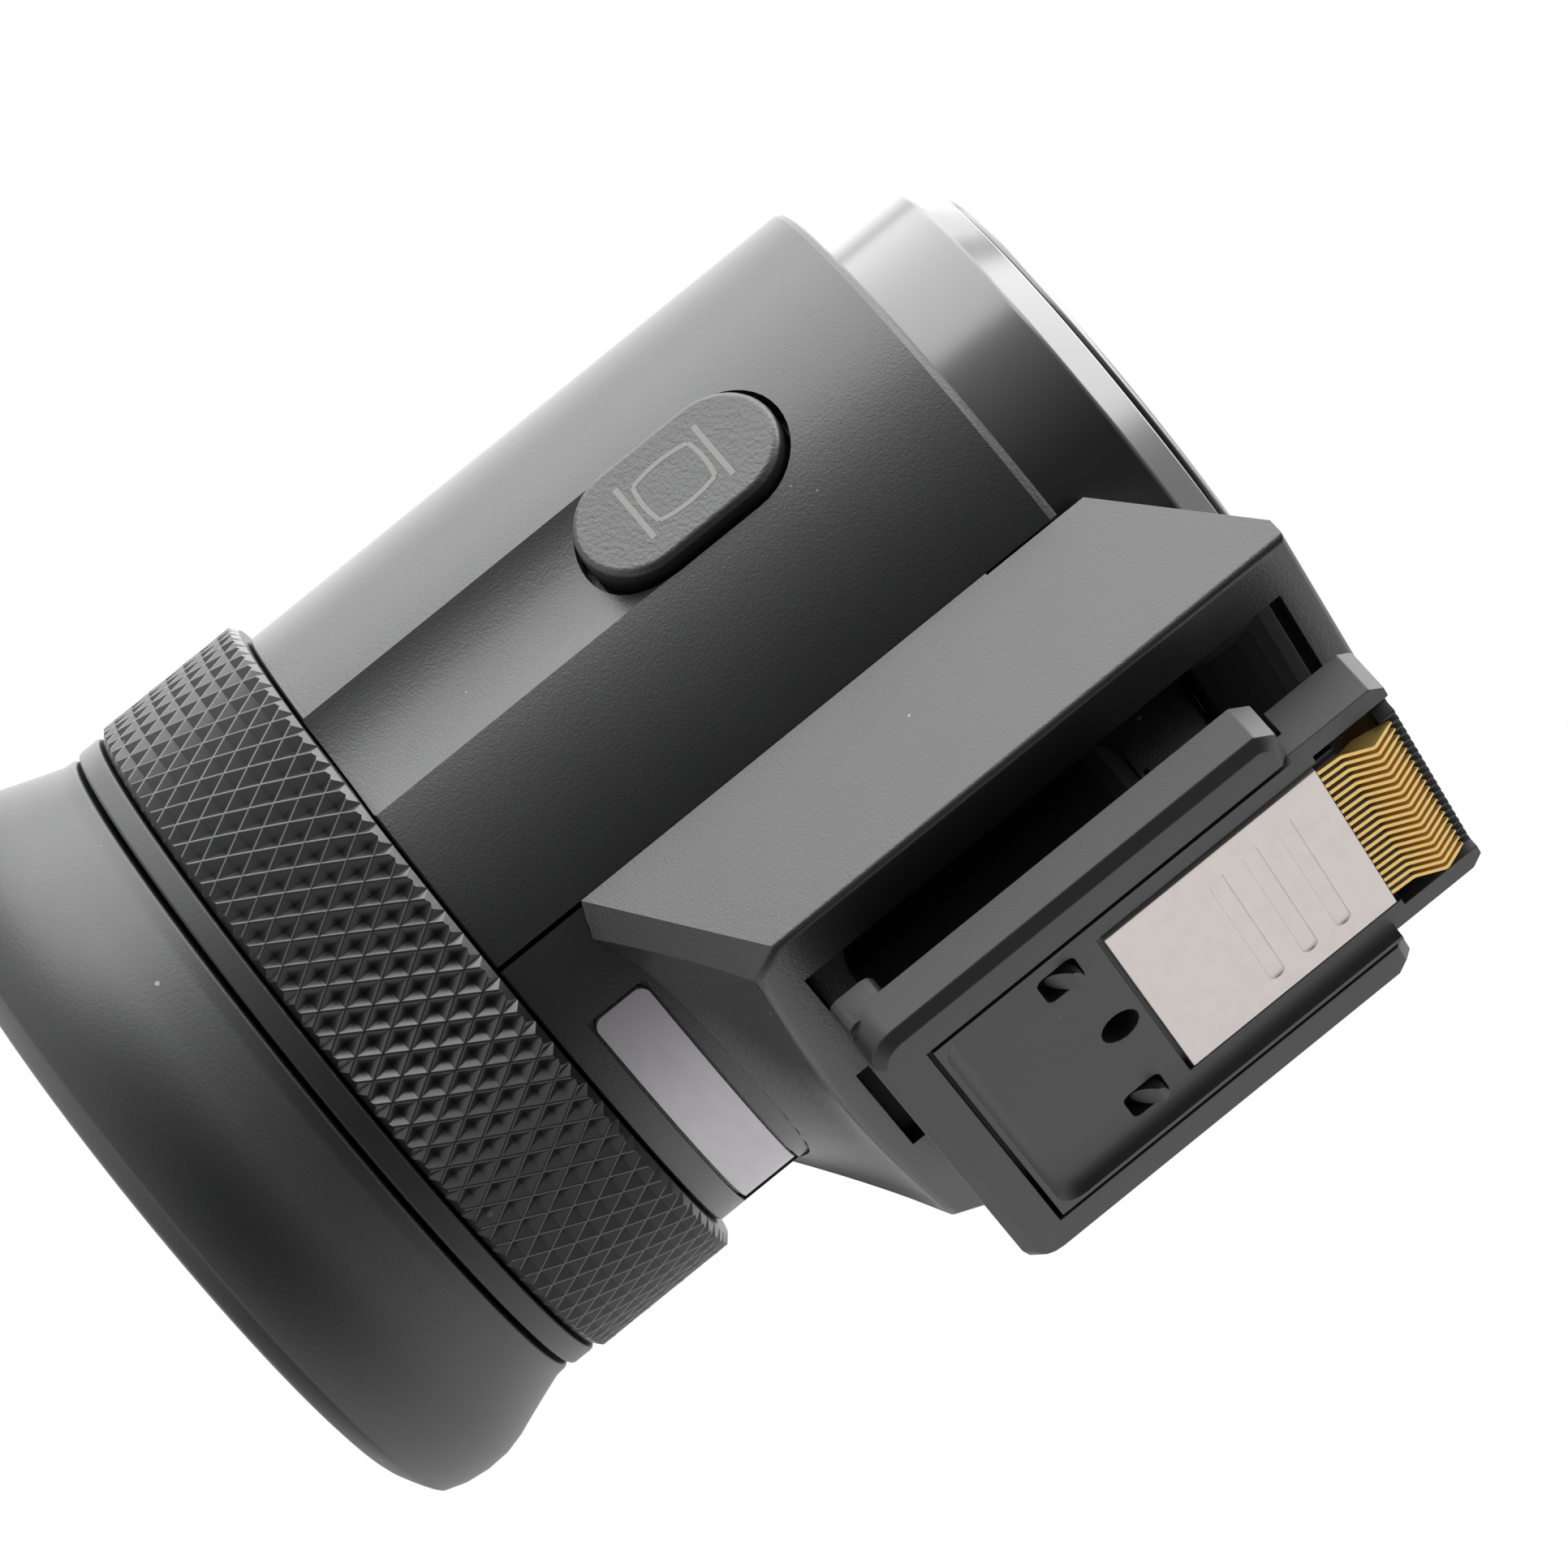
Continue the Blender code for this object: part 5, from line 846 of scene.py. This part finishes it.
hookShape = {"spread": 4.9, "rear": -2.8, "front": -1.15, "width": 1.6, "corner": 0.3, "nubRadius": 0.62,
             "nubShift": -0.1, "nubAlong": -1.85, "nubHeight": 1.2, "crest": 0.55, "tip": 0.06,
             "slope": 0.75, "edge": 0.09, "floor": 1.0, "wellHeight": 0.25, "wellLap": 0.1}
# Half widths, room behind and before the hooks, and levels of what is taken away or put in
hookRoom = {"half": 0.8, "rear": 0.3, "front": 0.3, "low": -0.5, "high": 1.29}
hookPlug = {"half": 1.2, "rear": 0.6, "front": 0.4, "low": 0.4, "high": 1.3}


def aroundHooks(room):
    spread, half = hookShape["spread"], room["half"]
    rear, front = hookShape["rear"] - room["rear"], hookShape["front"] + room["front"]
    return joined([block((side * spread - half, rear, room["low"]),
                         (side * spread + half, front, room["high"])) for side in (-1, 1)])


def withoutHooks(flange):
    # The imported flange's plain hooks give way to the rounded ones below
    return carved(flange, aroundHooks(hookRoom))


def withHookOpenings(tray):
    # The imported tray's wide openings are filled and cut again with round corners
    size = hookShape
    tray = welded(tray, aroundHooks(hookPlug))
    openings = []
    for side in (-1, 1):
        middle = side * size["spread"]
        opening = block((middle - size["width"] / 2, size["rear"], -0.5),
                        (middle + size["width"] / 2, size["front"], 1.5))
        openings.append(roundEdges(opening, pickEdges(opening, isUpright), size["corner"], 4))
    return carved(tray, joined(openings))


def buildHooks():
    # Two sprung hooks that hold the tray, each a sloped round nub in a dark opening whose dark floor is
    # painted shade
    size = hookShape
    along, height, lap = size["nubAlong"], size["nubHeight"], size["wellLap"]
    half = size["width"] / 2 + lap
    hooks = []
    wells = []
    for side in (-1, 1):
        middle = side * size["spread"]
        nub = rod(size["nubRadius"], height, 32,
                  (middle + size["nubShift"], along, size["tip"] + height / 2))
        crest = (middle, along + size["nubRadius"] * size["crest"], size["tip"])
        rim = sliced(nub, crest, (0, -size["slope"], -1))
        bmesh.ops.contextual_create(nub, geom=rim)
        lower = sharpEdges(nub, radians(25), lambda co: co.z < 1.1)
        hooks.append(roundEdges(nub, lower, size["edge"], 3))
        # A dull dark sheet closes each opening from inside: painted shade, not a part of the foot
        wells.append(block((middle - half, size["rear"] - lap, size["floor"]),
                           (middle + half, size["front"] + lap, size["floor"] + size["wellHeight"])))
    finishPiece("trayHooks", joined(hooks), "foot", "base", ["foot_flange"])
    finishPiece("hookShadeWells", joined(wells), "inner", "base", ["foot_flange"])


# Contact plate, pins and their carrier

plateShape = {"width": 10.54, "rear": 0.05, "front": 9.55, "sole": 0.3, "top": 0.6, "grooveLength": 8.2,
              "grooveWidth": 0.66, "grooveDepth": 0.07, "pitch": 1.54, "count": 3, "lead": 2.0,
              "edge": 0.07, "grooveEdge": 0.06, "lipEdge": 0.03, "lap": 0.05}


def buildPlate():
    size = plateShape
    half = size["width"] / 2
    plate = block((-half, size["rear"], size["sole"]), (half, size["front"], size["top"]))
    roundEdges(plate, edgesWhere(plate, lambda co: co.z < size["sole"] + 0.01), size["edge"], 2)
    grooves = []
    for number in range(size["count"]):
        middle = size["front"] - size["lead"] - number * size["pitch"]
        outline = slotOutline(0, 0, size["grooveLength"], size["grooveWidth"], 12)
        points = [(point[1], middle + point[2], size["sole"] - size["lap"]) for point in outline]
        groove = pulled(points, (0, 0, size["lap"] + size["grooveDepth"]))
        rim = edgesWhere(groove, lambda co: co.z > size["sole"])
        grooves.append(roundEdges(groove, rim, size["grooveEdge"], 3))
    plate = carved(plate, joined(grooves))
    lips = sharpEdges(plate, radians(20), lambda co: co.z < size["sole"] + 0.005
                      and abs(co.x) < half - 0.5 and size["rear"] + 0.5 < co.y < size["front"] - 0.5)
    roundEdges(plate, lips, size["lipEdge"], 2)
    finishPiece("contactPlate", plate, "plate", "base", ["contact_plate"])


pinShape = {"count": 20, "pitch": 0.5, "width": 0.23, "tip": 0.08, "tipLength": 0.35,
            "bend": 0.1, "bendFrom": 10.2, "bendTo": 12.2,
            "front": [(9.58, 0.45), (10.58, 0.39), (11.70, -0.20), (12.72, 0.20)],
            "back": [(12.66, 0.30), (12.1, 0.40), (11.2, 0.58), (10.55, 0.47), (9.58, 0.53)]}
carrierShape = {"half": 5.25, "rear": 9.62, "front": 13.1, "top": 1.4, "sole": 1.0,
                "rootSole": 0.62, "root": 0.9, "finWidth": 0.18, "finLength": 0.75,
                "finHeight": 1.12, "finEdge": 0.05}


def bentPin():
    # One blade contact seen from the side: a flat root, a bend below the sole and a pointed tip
    size = pinShape
    outline = [(-size["width"] / 2, along, height) for along, height in size["front"] + size["back"]]
    bm = pulled(outline, (size["width"], 0, 0))
    bends = pickEdges(bm, lambda edge: abs(edge.verts[0].co.x - edge.verts[1].co.x) > 0.1
                      and size["bendFrom"] < edge.verts[0].co.y < size["bendTo"])
    roundEdges(bm, bends, size["bend"], 3)
    end = max(vert.co.y for vert in bm.verts)
    sliced(bm, (0, end - size["tipLength"], 0), (0, 1, 0), clear=False)
    for vert in bm.verts:
        if vert.co.y > end - size["tipLength"] / 2:
            vert.co.x *= size["tip"] / size["width"]
    return bm


def buildPins():
    size = pinShape
    pins = []
    for number in range(size["count"]):
        pin = bentPin()
        across = (number + 0.5 - size["count"] / 2) * size["pitch"]
        bmesh.ops.translate(pin, vec=(across, 0, 0), verts=pin.verts)
        pins.append(pin)
    finishPiece("contactPins", joined(pins), "gold", "base", ["contact_comb"])


def buildCarrier():
    # Black moulding behind the pins, with a fin between every two of them
    size = carrierShape
    half, rear, front = size["half"], size["rear"], size["front"]
    top, sole, root = size["top"], size["sole"], size["rear"] + size["root"]
    outline = [(rear, top), (rear, size["rootSole"]), (root, size["rootSole"]), (root, sole),
               (front, sole), (front, top)]
    carrier = pulled([(-half, along, height) for along, height in outline], (2 * half, 0, 0))
    thin = size["finWidth"] / 2
    fins = []
    for number in range(pinShape["count"] + 1):
        across = (number - pinShape["count"] / 2) * pinShape["pitch"]
        fin = block((across - thin, front - size["finLength"], top - size["finHeight"]),
                    (across + thin, front - 0.05, sole + 0.1))
        fins.append(roundEdges(fin, edgesWhere(fin, lambda co: co.z < sole), size["finEdge"], 2))
    carrier = welded(carrier, joined(fins))
    finishPiece("pinCarrier", carrier, "carrier", "base", ["contact_comb"])


for label, build in (("eyecup", buildEyecup), ("eyecup ring", buildCupRing),
                     ("knurled ring", buildKnurledRing), ("barrel shell", buildBarrelShell),
                     ("lower panel", buildLowerPanel), ("label", buildLabel), ("button", buildButton),
                     ("icon", buildIcon), ("front", buildFront), ("base", buildBase),
                     ("foot", buildFoot), ("plate", buildPlate), ("contact pins", buildPins),
                     ("pin carrier", buildCarrier)):
    build()
    print("made:", label)


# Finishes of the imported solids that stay

keptNodes = {
    "film": ["display_flex"],
    "steel": ["hinge_pin_left", "hinge_pin_right", "neck_screw_1", "neck_screw_2", "neck_screw_3",
              "neck_screw_4", "cam_pin"],
    "washer": ["friction_washer_left", "friction_washer_right"],
    # The foot's neck takes this dull dark finish instead of the foot's own: painted shade, as it sits in
    # the cavity
    "inner": ["eyepiece_tube", "display_holder", "lens_cell", "lens_spacer", "lens_retainer", "foot_neck",
              "hinge_drum", "hinge_bracket", "contact_flex"],
    "glass": ["eyepiece_window", "eye_lens", "field_lens"], "display": ["display_panel"],
    "diffuser": ["backlight_unit"], "board": ["main_board", "switch_board"], "chip": ["video_chip"],
    "switch": ["tact_switch"],
}
for finish, names in keptNodes.items():
    for name in names:
        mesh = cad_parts[name].data
        mesh.materials.clear()
        mesh.materials.append(materials[finish])
print("finishes on the packed solids")


# Stage: floor, world, lamps and camera

stageSet = {
    "floorLevel": -0.00028, "floorReach": 0.5, "fadeFrom": 0.1, "fadeTo": 0.24,
    "floorColor": (0.86, 0.86, 0.87), "floorRoughness": 0.9, "floorSpecular": 0.1, "ambient": 0.45,
    "darkSides": [{"side": (0.62, -0.01, -0.78), "from": 0.25, "to": 0.95, "level": 0.08},
                  {"side": (-0.6, -0.79, 0.1), "from": 0.88, "to": 0.98, "level": 0.0}],
    "lamps": [
        {"name": "skyPanel", "place": (0.245, 0.15, 0.365), "aim": (0, 0, 0.02), "size": (0.64, 0.52),
         "power": 2.95},
        {"name": "topSky", "place": (-0.17, 0.10, 0.37), "aim": (0, 0, 0.02), "size": (0.30, 0.46),
         "power": 0.68},
        {"name": "frontSky", "place": (0.02, 0.42, 0.15), "aim": (0, 0.01, 0.02), "size": (0.50, 0.36),
         "power": 2.4},
    ],
}
cameraSet = {"place": (0.1868, -0.0074, -0.1130), "aim": (-0.0016, -0.00501, 0.01893),
             "upward": (0.4457, 0.629, 0.6365), "lens": 140.5, "sensor": 36, "nearest": 0.01}


def aimed(place, aim, upward):
    # A pose that looks from one point to another with a chosen up direction
    back = (Vector(place) - Vector(aim)).normalized()
    right = Vector(upward).cross(back).normalized()
    up = back.cross(right)
    turn = Matrix((right, up, back)).transposed().to_4x4()
    return Matrix.Translation(place) @ turn


def buildFloor():
    # Seen by the camera from above only, and fading out into the white world
    bm = bmesh.new()
    bmesh.ops.create_grid(bm, x_segments=1, y_segments=1, size=stageSet["floorReach"])
    bmesh.ops.translate(bm, vec=(0, 0, stageSet["floorLevel"]), verts=bm.verts)
    floor = looseObject(bm, "floor")
    material, tree, make, shader = newMaterial("floor")
    shader.inputs["Base Color"].default_value = (*stageSet["floorColor"], 1)
    shader.inputs["Roughness"].default_value = stageSet["floorRoughness"]
    shader.inputs["Specular IOR Level"].default_value = stageSet["floorSpecular"]
    clear = make("ShaderNodeBsdfTransparent")
    below = make("ShaderNodeNewGeometry").outputs["Backfacing"]
    rays = make("ShaderNodeLightPath")
    above = mathValue(make, "GREATER_THAN", rays.outputs["Is Camera Ray"], below)
    spot = make("ShaderNodeTexCoord").outputs["Object"]
    away = make("ShaderNodeVectorMath", {0: spot}, operation="LENGTH")
    near = ranged(make, away.outputs["Value"], 1.0, 0.0, stageSet["fadeFrom"], stageSet["fadeTo"])
    shown = mathValue(make, "MULTIPLY", above, near)
    mix = make("ShaderNodeMixShader", {0: shown, 1: clear.outputs[0], 2: shader.outputs[0]})
    tree.links.new(mix.outputs[0], tree.nodes["Material Output"].inputs["Surface"])
    floor.data.materials.append(material)


def buildWorld():
    # White to the eye and through glass; in light and reflections it is darker on two sides
    world = bpy.data.worlds.new("paleRoom")
    world.use_nodes = True
    bpy.context.scene.world = world
    tree = world.node_tree
    make = nodeMaker(tree)
    rays = make("ShaderNodeLightPath").outputs
    where = make("ShaderNodeTexCoord").outputs["Generated"]
    lit = ranged(make, rays["Is Glossy Ray"], stageSet["ambient"], 1.0)
    for dark in stageSet["darkSides"]:
        facing = make("ShaderNodeVectorMath", {0: where, 1: dark["side"]}, operation="DOT_PRODUCT")
        shade = ranged(make, facing.outputs["Value"], 1.0, dark["level"], dark["from"], dark["to"])
        lit = mathValue(make, "MULTIPLY", lit, shade)
    seen = mathValue(make, "MAXIMUM", rays["Is Camera Ray"], rays["Is Transmission Ray"])
    strength = ranged(make, seen, lit, 1.0)
    background = tree.nodes["Background"]
    background.inputs["Color"].default_value = (1, 1, 1, 1)
    tree.links.new(strength, background.inputs["Strength"])


def buildLamps():
    for lamp in stageSet["lamps"]:
        data = bpy.data.lights.new(lamp["name"], "AREA")
        data.shape = "RECTANGLE"
        data.size, data.size_y = lamp["size"]
        data.energy = lamp["power"]
        thing = bpy.data.objects.new(lamp["name"], data)
        thing.matrix_world = aimed(lamp["place"], lamp["aim"], (0, 1, 0.001))
        bpy.context.collection.objects.link(thing)


def buildCamera():
    data = bpy.data.cameras.new("photoCamera")
    data.lens = cameraSet["lens"]
    data.sensor_width = cameraSet["sensor"]
    data.clip_start = cameraSet["nearest"]
    camera = bpy.data.objects.new("photoCamera", data)
    camera.matrix_world = aimed(cameraSet["place"], cameraSet["aim"], cameraSet["upward"])
    bpy.context.collection.objects.link(camera)
    bpy.context.scene.camera = camera


buildFloor()
buildWorld()
buildLamps()
buildCamera()
bpy.context.scene.view_settings.view_transform = "Standard"
print("stage set")
